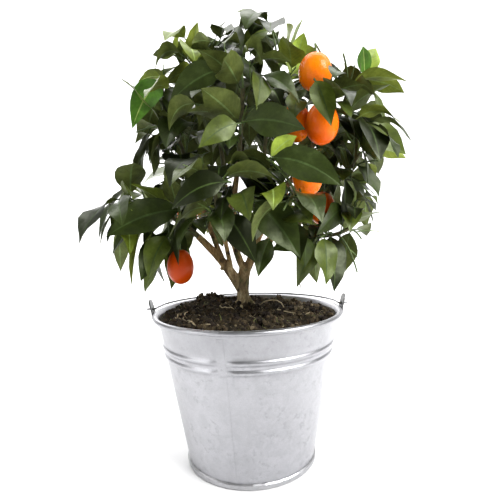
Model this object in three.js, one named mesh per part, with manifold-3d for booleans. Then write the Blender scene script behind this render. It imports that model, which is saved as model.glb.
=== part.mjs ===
// A young calamondin orange tree with ripe oval fruit, growing in a galvanised bucket with a wire bail.
// Millimetres, +Z up, origin at the centre of the bucket's flat base. The front of the tree faces -Y.
import * as THREE from 'three';
import { mergeVertices } from 'three/addons/utils/BufferGeometryUtils.js';
import Module from 'manifold-3d';

const wasm = await Module();
wasm.setup();

const clear = 0.3; // the gap that pieces which touch keep
const weld = 1e-3; // corners nearer than this are one

// ------------------------------------------------ the bucket's driving sizes
const bucket = {
  height: 157,
  baseRadius: 66.2, // outside of the wall at the ground
  topRadius: 94.8, // outside of the wall under the rim
  wall: 1.2,
  floor: 2.5,
  beadRadius: 2.5, // the rolled rim
  ribHeights: [126, 117],
  ribHalfWidth: 3.2,
  ribRise: 1.5,
  segments: 36,
};
const hoop = { height: 6, outerRadius: 68.9, lip: 1.2 };
const ear = {
  width: 14,
  thickness: 1.4,
  bottom: 139,
  top: 170,
  lean: 3.2,
  holeRadius: 1.8,
  rivetSpread: 3.6,
  shoulder: 156, // where it starts to lean out, above the rim
};
const rivet = { height: 144.5, headRadius: 2.2, shankRadius: 1.2 };
const bail = {
  wireRadius: 1.1,
  radius: 100.3, // of the half circle that lies round the back of the rim
  pivotHeight: 159.6,
  restDrop: 1.4, // degrees below level, where the wire lies on the rim
  swing: 35, // degrees from rest to where the leaves stop it
  neck: 98.8, // how far out the wire runs beside the ears
  turn: 3.2, // the bend's radius before each ear
  tip: 107.5,
};
const soil = {
  edge: 151,
  middle: 154.2,
  floorGap: 0.3,
  wallGap: 0.4,
  heaps: [ // a heap behind on the left, one beside it, a dip behind on the right, and a low one in front
    { at: [-46, 58], height: 7.5, spread: 22 },
    { at: [-60, 10], height: 2.5, spread: 24 },
    { at: [46, 52], height: -3.4, spread: 34 },
    { at: [20, -50], height: 1.6, spread: 26 },
  ],
};

// ------------------------------------------------ the trunk and the boughs
// A limb runs from `from` by way of `bend` to `to`. A bough's `on` names the limb that it grows out of.
const limbs = {
  trunk: { from: [-3, 20, 151.5], bend: [-7, 18, 176], to: [-1, 16, 199], radii: [7.4, 5.4], flare: 2.4 },
  left_bough: {
    on: 'trunk', from: [-5.2, 18.2, 174], bend: [-20, 9, 205],
    to: [-50, -2, 236], radii: [4.6, 3.1],
  },
  centre_left_bough: {
    on: 'trunk', from: [-1.5, 16, 197], bend: [-17, 22, 222],
    to: [-20, 20, 292], radii: [3.7, 2.5],
  },
  centre_right_bough: {
    on: 'trunk', from: [-1, 16, 196], bend: [16, 12, 220],
    to: [22, 8, 304], radii: [4.1, 2.5],
  },
  upper_left_bough: {
    on: 'left_bough', from: [-25.6, 6.5, 211], bend: [-36, 12, 235],
    to: [-52, 14, 288], radii: [3, 2.3],
  },
  front_left_bough: {
    on: 'left_bough', from: [-17, 11, 199.5], bend: [-18, -6, 216],
    to: [-22, -32, 240], radii: [2.8, 2.2],
  },
  right_bough: {
    on: 'centre_right_bough', from: [8.6, 13.4, 215], bend: [26, 8, 232],
    to: [62, 2, 256], radii: [3.3, 2.5],
  },
  front_right_bough: {
    on: 'right_bough', from: [19.3, 10.2, 224.7], bend: [26, -10, 230],
    to: [44, -34, 238], radii: [2.7, 2.1],
  },
  low_right_bough: {
    on: 'right_bough', from: [33.2, 7, 237.5], bend: [50, 0, 238],
    to: [74, -8, 233], radii: [2.6, 2.1],
  },
  upper_right_bough: {
    on: 'centre_right_bough', from: [15.9, 10.9, 243], bend: [34, 2, 268],
    to: [60, -14, 308], radii: [3, 2.3],
  },
  front_upper_bough: {
    on: 'centre_left_bough', from: [-14.8, 21, 244], bend: [-10, 0, 270],
    to: [-4, -34, 310], radii: [2.9, 2.2],
  },
  back_left_bough: {
    on: 'centre_left_bough', from: [-11.2, 19.9, 222], bend: [-24, 38, 240],
    to: [-44, 58, 262], radii: [3, 2.3],
  },
  back_right_bough: {
    on: 'centre_right_bough', from: [12.4, 12, 226], bend: [22, 34, 246],
    to: [42, 58, 268], radii: [3, 2.3],
  },
  back_upper_bough: {
    on: 'centre_left_bough', from: [-17.1, 20.7, 262], bend: [-12, 44, 290],
    to: [-2, 58, 330], radii: [2.8, 2.2],
  },
};

// ------------------------------------------------ the masses of foliage
// Each mass fills an ellipsoid round `centre`, `reach` being its half sizes. Its stem goes on from the tip
// of `bough` to `hub`. Twigs go from the stem to the fruit, to the shoots that give the crown its outline,
// each with the tips of its outermost leaves, and to `twigs` places that the rule spreads. All the other
// leaves follow the rule.
const masses = {
  lower_left_foliage: {
    bough: 'left_bough', hub: [-112, -12, 274], twigs: 6, seed: 862,
    centre: [-100, -20, 252], reach: [74, 74, 76],
    shoots: [
      { to: [-54, -50, 260], leaves: [[-125, -66, 239], [-66, -68, 212]] },
      { to: [-100, -26, 254], leaves: [[-82, -44, 191], [-117, -32, 190], [-138, -24, 221]] },
      { to: [-108, -6, 296], leaves: [[-160, -10, 240], [-140, 14, 276]] },
      { to: [-124, -16, 274], leaves: [[-153, -14, 232]] },
    ],
    fruit: [{ at: [-63, -45, 208], width: 26, length: 34 }],
  },
  upper_left_foliage: {
    bough: 'upper_left_bough', hub: [-80, 0, 378], twigs: 7, seed: 945,
    centre: [-78, 2, 354], reach: [56, 66, 78],
    shoots: [
      { to: [-80, -6, 400], leaves: [[-108, 4, 400], [-109, -28, 347], [-90, -14, 338]] },
      { to: [-86, -4, 344], leaves: [[-112, -4, 310], [-90, -24, 297]] },
    ],
    fruit: [],
  },
  top_left_foliage: {
    bough: 'centre_left_bough', hub: [-42, -2, 420], twigs: 7, seed: 665,
    centre: [-34, 0, 408], reach: [66, 66, 60],
    shoots: [
      { to: [-68, -2, 424], leaves: [[-62, -6, 444], [-88, -14, 419]] },
      { to: [-26, -4, 434], leaves: [[-12, -16, 452], [-48, -26, 424]] },
    ],
    fruit: [],
  },
  top_foliage: {
    bough: 'centre_right_bough', hub: [42, -2, 426], twigs: 7, seed: 105,
    centre: [36, 0, 412], reach: [70, 66, 72],
    shoots: [
      { to: [34, 0, 448], leaves: [[-2, 4, 464], [1, -14, 427]] },
      { to: [50, -6, 424], leaves: [[54, 6, 458], [68, -8, 456]] },
      { to: [56, -18, 402], leaves: [[64, -26, 432]] },
    ],
    fruit: [],
  },
  upper_right_foliage: {
    bough: 'upper_right_bough', hub: [112, -30, 370], twigs: 6, seed: 222,
    centre: [100, -36, 358], reach: [80, 80, 80],
    shoots: [
      { to: [124, -22, 386], leaves: [[120, -32, 415], [138, -16, 420], [158, -36, 368], [152, -16, 340]] },
      { to: [62, -84, 366], leaves: [[73, -98, 323]] },
      { to: [98, -78, 378], leaves: [[58, -102, 352]] },
    ],
    fruit: [
      { at: [68, -60, 381], width: 31, length: 34 },
      { at: [71, -72, 332], width: 30, length: 37 },
      { at: [50, -52, 338], width: 29, length: 36 },
    ],
  },
  right_foliage: {
    bough: 'right_bough', hub: [124, 0, 318], twigs: 7, seed: 447,
    centre: [114, 2, 300], reach: [68, 72, 76],
    shoots: [
      { to: [112, -30, 334], leaves: [[165, -28, 312], [126, -56, 302], [104, -52, 284], [126, -36, 282]] },
      { to: [140, 2, 322], leaves: [[174, 4, 312]] },
      { to: [106, -14, 294], leaves: [[136, -14, 244], [98, -42, 244]] },
    ],
    fruit: [{ at: [84, 2, 262], width: 28, length: 36 }],
  },
  lower_right_foliage: {
    bough: 'low_right_bough', hub: [108, -20, 240], twigs: 6, seed: 6,
    centre: [90, -18, 230], reach: [66, 66, 74],
    shoots: [
      { to: [70, -28, 232], leaves: [[50, -46, 184], [80, -34, 194]] },
      { to: [100, -28, 260], leaves: [[70, -56, 234]] },
      { to: [98, -20, 236], leaves: [[84, -34, 190]] },
    ],
    fruit: [],
  },
  front_right_foliage: {
    bough: 'front_right_bough', hub: [44, -84, 272], twigs: 6, seed: 984,
    centre: [40, -72, 262], reach: [66, 62, 74],
    shoots: [
      { to: [20, -88, 300], leaves: [[78, -112, 274], [46, -88, 318]] },
      { to: [6, -80, 266], leaves: [[45, -100, 217]] },
      { to: [-18, -80, 256], leaves: [[8, -97, 213]] },
    ],
    fruit: [{ at: [57, -67, 288], width: 28, length: 38 }],
  },
  front_left_foliage: {
    bough: 'front_left_bough', hub: [-26, -84, 286], twigs: 8, seed: 204,
    centre: [-26, -66, 272], reach: [70, 64, 66],
    shoots: [{ to: [-10, -98, 280], leaves: [[-60, -106, 262]] }], fruit: [],
  },
  front_upper_foliage: {
    bough: 'front_upper_bough', hub: [2, -78, 362], twigs: 6, seed: 947,
    centre: [2, -62, 348], reach: [76, 66, 72],
    shoots: [
      { to: [-1, -86, 330], leaves: [[-33, -106, 308], [50, -100, 320]] },
      { to: [-12, -66, 384], leaves: [[-8, -96, 324], [-64, -66, 356]] },
      { to: [18, -66, 378], leaves: [[16, -96, 340], [52, -82, 350]] },
    ],
    fruit: [],
  },
  back_left_foliage: {
    bough: 'back_left_bough', hub: [-76, 98, 296], twigs: 8, seed: 153,
    centre: [-64, 82, 280], reach: [78, 66, 74],
    shoots: [], fruit: [{ at: [-78, 108, 262], width: 28, length: 36 }],
  },
  back_right_foliage: {
    bough: 'back_right_bough', hub: [74, 98, 300], twigs: 8, seed: 795,
    centre: [64, 82, 284], reach: [78, 66, 76],
    shoots: [], fruit: [{ at: [52, 118, 276], width: 28, length: 36 }],
  },
  back_upper_foliage: {
    bough: 'back_upper_bough', hub: [4, 96, 390], twigs: 9, seed: 349,
    centre: [0, 82, 370], reach: [84, 66, 74],
    shoots: [], fruit: [{ at: [-34, 112, 366], width: 28, length: 35 }],
  },
};

// Gaps in the crown that stay free of leaves, from front to back. They fan out from a place in front of the
// tree, given as its y and z. Each is a cone round the line from there through the x and z given here, which
// are those at y = 0, as is the radius after them.
const openSky = {
  from: [-425, 240],
  gaps: {
    top: [47, 471, 8],
    besideTop: [38, 469, 5],
    aboveUpperRight: [95, 438, 21],
    besideUpperRight: [114, 414, 10],
    rightEdgeAbove: [164, 414, 12],
    rightShoulder: [157, 376, 6],
    rightShoulderOuter: [178, 360, 13],
    leftShoulder: [-126, 341, 9],
    rightEdge: [159, 298, 14],
    rightEdgeBelow: [159, 268, 14],
    lowRight: [135, 215, 12],
    lowRightUnder: [122, 194, 13],
    underRight: [76, 172, 9],
    rightOfTrunk: [37, 204, 10],
    leftOfTrunk: [-40, 212, 15],
    underLeftFruit: [-50, 228, 6],
  },
};

// ------------------------------------------------ the rule that the twigs and leaves follow
const growth = {
  twigShare: 0.56, // how far out in its mass a spread twig ends
  twigRadii: [1.2, 0.8],
  stemTip: 1.9,
  firstTwig: 0.15, // the share of the stem that is bare
  leafSpacing: 6,
  leafFrom: 0.25, // the share of a twig that is bare
  leafLength: [62, 88],
  leafWidth: 0.42, // of its length
  leafThickness: 0.8,
  leafAngle: [70, 34], // degrees from the twig, first and last leaf
  droop: [0.7, 2.2],
  shootShares: 0.05, // how far down the twig each named leaf of a shoot stands from the one before
  arch: 0.2, // how high a shoot's leaf arches, of its chord
  faceRise: 0.1, // how far a shoot's leaf turns its face up, instead of out from the tree
  stray: 0.3, // radians either way, from the middle of a twig's face
  roll: 0.9, // radians either way
  fold: 0.18, // how far the leaf's edges lift, of its half width
  tries: 12,
  leastScale: 0.75, // a leaf that is tried again and again gets as small as this
  leafGap: [2.8, 4.6], // from a leaf of the same mass, and of another
  wideGap: 16, // more room than this counts no further
  twigGap: 2.4,
  limbGap: 2.5,
  fruitGap: 2,
  stalk: 8,
  widest: 0.42, // along the leaf
  goldenAngle: 2.399963,
};

// ------------------------------------------------ materials
const look = (color, roughness, metalness) =>
  new THREE.MeshStandardMaterial({ color, roughness, metalness });
const finishes = {
  zinc: look(0xc9ccd2, 0.35, 0.9),
  wire: look(0x8b8e92, 0.4, 0.9),
  soil: look(0x2c2119, 1, 0),
  bark: look(0x8a7650, 0.9, 0),
  foliage: look(0x2f4a24, 0.45, 0),
};

// ------------------------------------------------ solids from geometry, and back
function solidOf(geometry) {
  const bare = geometry.clone();
  bare.deleteAttribute('uv');
  bare.deleteAttribute('normal');
  const merged = mergeVertices(bare, weld);
  return new wasm.Manifold(new wasm.Mesh({
    numProp: 3,
    vertProperties: new Float32Array(merged.attributes.position.array),
    triVerts: new Uint32Array(merged.index.array),
  }));
}

function meshOf(name, solid, material) {
  const { numProp, vertProperties, triVerts } = solid.getMesh();
  const geometry = new THREE.BufferGeometry();
  const points = new Float32Array((vertProperties.length / numProp) * 3);
  for (let i = 0; i < points.length / 3; i++) {
    points.set(vertProperties.subarray(i * numProp, i * numProp + 3), i * 3);
  }
  geometry.setAttribute('position', new THREE.BufferAttribute(points, 3));
  geometry.setIndex(new THREE.BufferAttribute(triVerts, 1));
  geometry.computeVertexNormals();
  const mesh = new THREE.Mesh(geometry, material);
  mesh.name = name;
  return mesh;
}

// A turned piece from a closed profile of [radius, height] pairs.
function turned(profile, segments = bucket.segments) {
  const closed = [...profile, profile[0]].map(([r, z]) => new THREE.Vector2(r, z));
  const geometry = new THREE.LatheGeometry(closed, segments).rotateX(Math.PI / 2);
  const made = solidOf(geometry);
  if (made.volume() > 0) return made;
  return solidOf(new THREE.LatheGeometry(closed.reverse(), segments).rotateX(Math.PI / 2));
}

// A closed bar bent along a curve. section(t) gives the half width and half height of its cross-section.
// `side`, if given, is the direction of the half width. Zero sizes at an end make a point.
function bentBar(curve, steps, sides, section, side) {
  const bar = new THREE.CylinderGeometry(1, 1, 1, sides, steps);
  const place = bar.attributes.position;
  const frames = [];
  let across = side ? side.clone() : new THREE.Vector3(0.31, 0.87, 0.38);
  for (let i = 0; i <= steps; i++) {
    const along = curve.getTangent(i / steps);
    across = across.clone().addScaledVector(along, -across.dot(along)).normalize();
    frames.push({ at: curve.getPoint(i / steps), across, lift: along.clone().cross(across).negate() });
  }
  for (let i = 0; i < place.count; i++) {
    const t = THREE.MathUtils.clamp(0.5 - place.getY(i), 0, 1);
    const { at, across: a, lift } = frames[Math.round(t * steps)];
    const [halfWidth, halfHeight] = section(t);
    const p = at.clone()
      .addScaledVector(a, place.getX(i) * halfWidth)
      .addScaledVector(lift, place.getZ(i) * halfHeight);
    place.setXYZ(i, p.x, p.y, p.z);
  }
  const made = solidOf(bar);
  if (made.volume() >= 0) return made;
  bar.setIndex([...bar.index.array].reverse());
  return solidOf(bar);
}

// ------------------------------------------------ the bucket
const wallRadius = (z) => bucket.baseRadius + (bucket.topRadius - bucket.baseRadius) * (z / bucket.height);
const bead = { r: bucket.topRadius + bucket.beadRadius, z: bucket.height - bucket.beadRadius };

function bucketShell() {
  const outside = [[0, 0], [wallRadius(0), 0]];
  for (const height of [...bucket.ribHeights].reverse()) {
    for (const [share, rise] of [[-1, 0], [-0.4, 1], [0.4, 1], [1, 0]]) {
      const z = height + share * bucket.ribHalfWidth;
      outside.push([wallRadius(z) + rise * bucket.ribRise, z]);
    }
  }
  const rim = [[wallRadius(bead.z - bucket.beadRadius), bead.z - bucket.beadRadius]];
  for (let turn = -150; turn <= 120; turn += 54) {
    const a = THREE.MathUtils.degToRad(turn);
    rim.push([bead.r + bucket.beadRadius * Math.cos(a), bead.z + bucket.beadRadius * Math.sin(a)]);
  }
  const inTop = bucket.height - 2 * bucket.beadRadius;
  const inside = [
    [wallRadius(inTop) - bucket.wall, inTop],
    [wallRadius(bucket.floor) - bucket.wall, bucket.floor],
    [0, bucket.floor],
  ];
  return turned([...outside, ...rim, ...inside]);
}

function baseHoop() {
  const inner = (z) => wallRadius(z) + clear;
  const { height, outerRadius, lip } = hoop;
  return turned([
    [inner(0), 0],
    [outerRadius - lip, 0],
    [outerRadius, lip],
    [outerRadius, height - lip],
    [inner(height), height],
  ]);
}

// ------------------------------------------------ the ears and the bail
const bulge = bead.r + bucket.beadRadius + 0.4; // where the ear passes the rim

function bailEar() {
  const low = wallRadius(ear.bottom) + clear;
  const inner = [
    [low, ear.bottom],
    [wallRadius(149.6) + clear, 149.6],
    [bulge, 151.2],
    [bulge, ear.shoulder],
    [bulge + ear.lean, ear.top],
  ];
  const outer = [
    [bulge + ear.lean + ear.thickness, ear.top],
    [bulge + ear.thickness, ear.shoulder],
    [bulge + ear.thickness, 150],
    [wallRadius(148.4) + clear + ear.thickness, 148.2],
    [low + ear.thickness, ear.bottom],
  ];
  const side = new THREE.Shape([...inner, ...outer].map(([r, z]) => new THREE.Vector2(r, z)));
  const strip = new THREE.ExtrudeGeometry(side, { depth: ear.width, bevelEnabled: false })
    .translate(0, 0, -ear.width / 2).rotateX(Math.PI / 2);
  const half = ear.width / 2;
  const face = new THREE.Shape().moveTo(-half, ear.bottom - 1).lineTo(half, ear.bottom - 1)
    .lineTo(half, ear.top - half).absarc(0, ear.top - half, half, 0, Math.PI, false);
  const outline = new THREE.ExtrudeGeometry(face, { depth: 40, bevelEnabled: false, curveSegments: 10 })
    .rotateX(Math.PI / 2).rotateZ(Math.PI / 2).translate(80, 0, 0);
  let plate = solidOf(strip).intersect(solidOf(outline));
  plate = plate.subtract(rod(ear.holeRadius, 30, [bulge, 0, bail.pivotHeight], 12));
  for (const y of [-ear.rivetSpread, ear.rivetSpread]) {
    const hole = rod(rivet.shankRadius + clear, 12, [wallRadius(rivet.height) + 4, y, rivet.height], 8);
    plate = plate.subtract(hole);
  }
  return plate;
}

// A straight round rod along X, centred on a point.
function rod(radius, length, [x, y, z], sides) {
  const cylinder = new THREE.CylinderGeometry(radius, radius, length, sides);
  return solidOf(cylinder.rotateZ(Math.PI / 2).translate(x, y, z));
}

function earRivet(y) {
  const face = wallRadius(rivet.height + rivet.headRadius) + 2 * clear + ear.thickness;
  const shank = ear.thickness + 0.6;
  const ball = new THREE.SphereGeometry(rivet.headRadius, 8, 6).scale(0.6, 1, 1);
  const head = solidOf(ball.translate(face, y, rivet.height)).trimByPlane([1, 0, 0], face);
  return head.add(rod(rivet.shankRadius, shank, [face - shank / 2 + 0.7, y, rivet.height], 6));
}

function bailWire() {
  const { neck, turn, tip, radius } = bail;
  const side = [[tip, 0], [neck + turn + 1.5, 0]];
  for (let a = 0; a <= 90; a += 30) {
    const bend = THREE.MathUtils.degToRad(a);
    side.push([neck + turn - turn * Math.sin(bend), turn - turn * Math.cos(bend)]);
  }
  side.push([neck, 9]);
  const arc = [];
  for (let a = 12; a <= 168; a += 7.8) {
    const at = THREE.MathUtils.degToRad(a);
    arc.push([radius * Math.cos(at), radius * Math.sin(at)]);
  }
  const points = [...side, ...arc, ...side.map(([x, y]) => [-x, y]).reverse()];
  // One ring at each point of the route, set half way between the stretches that meet there.
  const steps = points.length - 1;
  const polyline = new THREE.Curve();
  const at = (i) => new THREE.Vector3(...points[THREE.MathUtils.clamp(i, 0, steps)], 0);
  polyline.getPoint = (t) => at(Math.round(t * steps));
  polyline.getTangent = (t) => {
    const i = Math.round(t * steps);
    return at(i + 1).sub(at(i)).normalize().add(at(i).sub(at(i - 1)).normalize()).normalize();
  };
  const section = () => [bail.wireRadius, bail.wireRadius];
  const wire = bentBar(polyline, steps, 6, section, new THREE.Vector3(0, 0, 1));
  return wire.rotate([-bail.restDrop, 0, 0]).translate([0, 0, bail.pivotHeight]);
}

// ------------------------------------------------ the soil
// The soil's surface: a low crown round the trunk, with heaps and a dip, and small ripples all over.
function soilHeight(x, y) {
  const away = Math.hypot(x, y) / wallRadius(soil.edge);
  const crown = soil.edge + (soil.middle - soil.edge) * (1 - away * away);
  const ripples = 0.7 * Math.sin(x / 7) * Math.cos(y / 8);
  return soil.heaps.reduce((z, { at, height, spread }) =>
    z + height * Math.exp(-((x - at[0]) ** 2 + (y - at[1]) ** 2) / spread ** 2), crown + ripples);
}

function soilFill() {
  const bottom = bucket.floor + soil.floorGap;
  const inner = (z) => wallRadius(z) - bucket.wall - soil.wallGap;
  const rings = [1, 0.84, 0.6, 0.32, 0];
  const surface = rings.map((share) => [inner(soil.edge - 3) * share, soil.edge]);
  const profile = [[0, bottom], [inner(bottom), bottom], ...surface].map(([r, z]) => new THREE.Vector2(r, z));
  const lathe = new THREE.LatheGeometry(profile, 26).rotateX(Math.PI / 2);
  const place = lathe.attributes.position;
  for (let i = 0; i < place.count; i++) {
    if (place.getZ(i) < soil.edge - 1) continue;
    const [x, y] = [place.getX(i), place.getY(i)];
    const atEdge = Math.hypot(x, y) > inner(soil.edge - 3) - 1;
    place.setZ(i, atEdge ? Math.min(soilHeight(x, y), soil.edge + 1) : soilHeight(x, y));
  }
  let fill = solidOf(lathe);
  if (fill.volume() < 0) {
    lathe.setIndex([...lathe.index.array].reverse());
    fill = solidOf(lathe);
  }
  // The trunk's foot stands in a shallow socket with a flat floor.
  const { from, radii, flare } = limbs.trunk;
  const socket = new THREE.CylinderGeometry(radii[0] + flare + clear, radii[0] + flare + clear, 20, 16)
    .rotateX(Math.PI / 2).translate(from[0], from[1], from[2] - clear + 10);
  return fill.subtract(solidOf(socket));
}

// ------------------------------------------------ limbs
const v = (p) => new THREE.Vector3(...p);
const curveOf = (a, b, c) => new THREE.QuadraticBezierCurve3(v(a), v(b), v(c));
const limbCurve = ({ from, bend, to }) => curveOf(from, bend, to);
const mix = (a, b, t) => a + (b - a) * t;

function limbRadius(limb, t) {
  const flare = (limb.flare ?? 0) * Math.max(0, 1 - t / 0.3) ** 2; // the root flare, at the foot only
  return mix(...limb.radii, t) + flare;
}

function limbSolid(limb, grow = 0) {
  const section = (t) => {
    const radius = limbRadius(limb, t) + grow;
    return [radius, radius];
  };
  return bentBar(limbCurve(limb), 5, limb.flare ? 10 : 6, section);
}

// A fork's limbs are cut clear of the limb they grow out of, and of the limbs that leave it near by.
function limbSolids() {
  const made = {};
  for (const [name, limb] of Object.entries(limbs)) {
    let solid = limbSolid(limb);
    for (const [other, otherLimb] of Object.entries(limbs)) {
      if (other === name) break;
      const meets = other === limb.on || otherLimb.on === limb.on;
      if (meets) solid = solid.subtract(limbSolid(otherLimb, clear));
    }
    made[name] = largest(solid);
  }
  // The trunk's foot is cut flat and level.
  made.trunk = made.trunk.trimByPlane([0, 0, 1], limbs.trunk.from[2]);
  return made;
}

function largest(solid) {
  return solid.decompose().sort((a, b) => b.volume() - a.volume())[0];
}

// ------------------------------------------------ growing the foliage
// The same numbers on every run: a seeded generator.
function seeded(seed) {
  let state = seed * 7919 + 17;
  return () => {
    state = (state * 16807) % 2147483647;
    return state / 2147483647;
  };
}

const up = new THREE.Vector3(0, 0, 1);
const between = ([low, high], share) => mix(low, high, share);

// The half width of a leaf of width 1, from its root at 0 to its drawn-out tip at 1.
function leafOutline(t) {
  return 0.5 * Math.sin(Math.PI * t ** 0.8) ** 0.8 * (1.12 - 0.3 * t);
}

function leafSamples(leaf) {
  const samples = [];
  for (let i = 2; i <= 10; i++) {
    const t = i / 10;
    const at = leaf.curve.getPoint(t);
    const halfWidth = leafOutline(Math.min(t, 0.995)) * leaf.width;
    for (const across of [-0.85, -0.42, 0, 0.42, 0.85]) {
      samples.push(at.clone().addScaledVector(leaf.side, across * halfWidth));
    }
  }
  return samples;
}

// Whether the place lies in one of the gaps that fan out through the crown.
function inOpenSky(p) {
  const share = openSky.from[0] / (openSky.from[0] - p.y);
  const [x, z] = [p.x * share, openSky.from[1] + (p.z - openSky.from[1]) * share];
  return Object.values(openSky.gaps).some((gap) => Math.hypot(x - gap[0], z - gap[1]) < gap[2]);
}

const inSpace = (mass, p) => {
  const [x, y, z] = mass.centre.map((c, i) => (p.getComponent(i) - c) / mass.reach[i]);
  return x * x + y * y + z * z < 1;
};

// Where the bail swings, and the bucket with what stands in it, are kept free.
function inKeepOut(p) {
  const reach = Math.hypot(p.x, p.y, p.z - bail.pivotHeight);
  const rise = THREE.MathUtils.radToDeg(Math.atan2(p.z - bail.pivotHeight, p.y));
  const inSwing = Math.abs(reach - bail.radius - 1) < 7 && p.y > -4 && rise < bail.swing + 5 && rise > -12;
  const nearBail = Math.abs(p.x) > 88 && Math.abs(p.x) < 112 && Math.abs(p.y) < 16 && p.z < ear.top + 6;
  const inBucket = Math.hypot(p.x, p.y) < 108 && p.z < bucket.height + 10;
  return inSwing || nearBail || inBucket || p.z < bucket.height + 2;
}

const grown = { leaves: [], twigs: [], fruit: [] }; // everything placed so far, as samples with their owner

// The least distance from the samples to any of the sets, as far as `reach`.
function roomTo(sets, samples, reach, skip = () => false) {
  let least = reach;
  for (const set of sets) {
    const thick = set.thick ?? 0;
    const reachOfBoth = set.span + samples.span + least + thick;
    if (skip(set) || set.middle.distanceTo(samples.middle) > reachOfBoth) continue;
    for (const p of samples.points) {
      for (const q of set.points) least = Math.min(least, p.distanceTo(q) - thick);
    }
  }
  return least;
}

function sampleSet(points, extra = {}) {
  const middle = points[Math.floor(points.length / 2)];
  return { points, middle, span: Math.max(...points.map((p) => p.distanceTo(middle))), ...extra };
}

const curvePoints = (curve, spacing) => {
  const count = Math.max(2, Math.ceil(curve.getPoint(0).distanceTo(curve.getPoint(1)) / spacing));
  return Array.from({ length: count + 1 }, (_, i) => curve.getPoint(i / count));
};

const limbSets = Object.values(limbs).map((limb) =>
  sampleSet(curvePoints(limbCurve(limb), 4), { thick: limb.radii[0] }));

function fruitHit(samples, gap) {
  return grown.fruit.some((fruit) => samples.points.some((p) => {
    const d = p.clone().sub(fruit.centre);
    const w = fruit.width / 2 + gap;
    const h = fruit.length / 2 + gap;
    return (d.x * d.x + d.y * d.y) / (w * w) + (d.z * d.z) / (h * h) < 1;
  }));
}

// A twig leaves the stem at a share of its length, rises a little and bends over to its tip.
function twigTo(stem, share, tip) {
  const from = stem.getPoint(share);
  const reach = tip.distanceTo(from);
  const bend = from.clone().addScaledVector(stem.getTangent(share), reach * 0.2).lerp(tip, 0.3);
  bend.z += reach * 0.14;
  return new THREE.QuadraticBezierCurve3(from, bend, tip);
}

// The level direction that a curve bends about.
function bendAxis({ v0, v1, v2 }) {
  const axis = new THREE.Vector3().crossVectors(v1.clone().sub(v0), v2.clone().sub(v1));
  return axis.lengthSq() < 1e-3 ? new THREE.Vector3(1, 0, 0) : axis.normalize();
}

// A leaf leaves the middle of one of the twig's three faces, turned a little either way.
function leafOn(twig, share, face, random, scale) {
  const along = twig.curve.getTangent(share);
  const turnAngle = Math.PI / 2 + (face * 2 * Math.PI) / 3 + growth.stray * 2 * (random() - 0.5);
  const out = twig.side.clone().applyAxisAngle(along, turnAngle);
  const angle = THREE.MathUtils.degToRad(between(growth.leafAngle, share) + 16 * (random() - 0.5));
  const heading = along.clone().multiplyScalar(Math.cos(angle)).addScaledVector(out, Math.sin(angle));
  heading.normalize();
  const length = between(growth.leafLength, random()) * mix(1.05, 0.86, share) * scale;
  const droop = between(growth.droop, random()) * twig.droop;
  const later = heading.clone().addScaledVector(up, -droop).normalize();
  const root = twig.curve.getPoint(share);
  const middle = root.clone().addScaledVector(heading, length * 0.42);
  const tip = middle.clone().addScaledVector(later, length * 0.58);
  const curve = new THREE.QuadraticBezierCurve3(root, middle, tip);
  const side = new THREE.Vector3().crossVectors(heading, up);
  if (side.lengthSq() < 0.02) side.copy(out);
  side.normalize().applyAxisAngle(heading, growth.roll * 2 * (random() - 0.5));
  const width = length * growth.leafWidth * mix(0.9, 1.1, random());
  return { curve, side, length, width, twig };
}

// A leaf from the end of a shoot that reaches to a named tip. Its face turns out from the tree, and up a little.
function leafTo(twig, rank, tip, random) {
  const root = twig.curve.getPoint(1 - rank * growth.shootShares);
  const length = root.distanceTo(tip);
  const middle = root.clone().lerp(tip, 0.45).addScaledVector(up, length * growth.arch);
  const curve = new THREE.QuadraticBezierCurve3(root, middle, tip);
  const heading = middle.clone().sub(root).normalize();
  const facing = new THREE.Vector3(root.x, root.y, 0).normalize().lerp(up, growth.faceRise);
  const side = new THREE.Vector3().crossVectors(heading, facing);
  if (side.lengthSq() < 0.02) side.set(1, 0, 0);
  side.normalize().applyAxisAngle(heading, growth.roll * (random() - 0.5));
  return { curve, side, length, width: length * growth.leafWidth * mix(0.95, 1.15, random()), twig };
}

// How much room a leaf has round it, or 0 where it doesn't fit.
function leafRoom(mass, leaf, samples, skip) {
  if (!samples.points.every((p) => inSpace(mass, p) && !inKeepOut(p) && !inOpenSky(p))) return 0;
  if (fruitHit(samples, growth.fruitGap)) return 0;
  if (roomTo(limbSets, samples, growth.limbGap) < growth.limbGap) return 0;
  const outer = { ...samples, points: samples.points.slice(10) };
  if (roomTo(grown.twigs, outer, growth.twigGap, (set) => set.twig === leaf.twig) < growth.twigGap) return 0;
  const [own, other] = growth.leafGap;
  if (roomTo(grown.leaves, samples, other, (set) => set.mass === mass) < other) return 0;
  const room = roomTo(grown.leaves, samples, growth.wideGap, skip);
  return room < own ? 0 : room;
}

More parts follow.
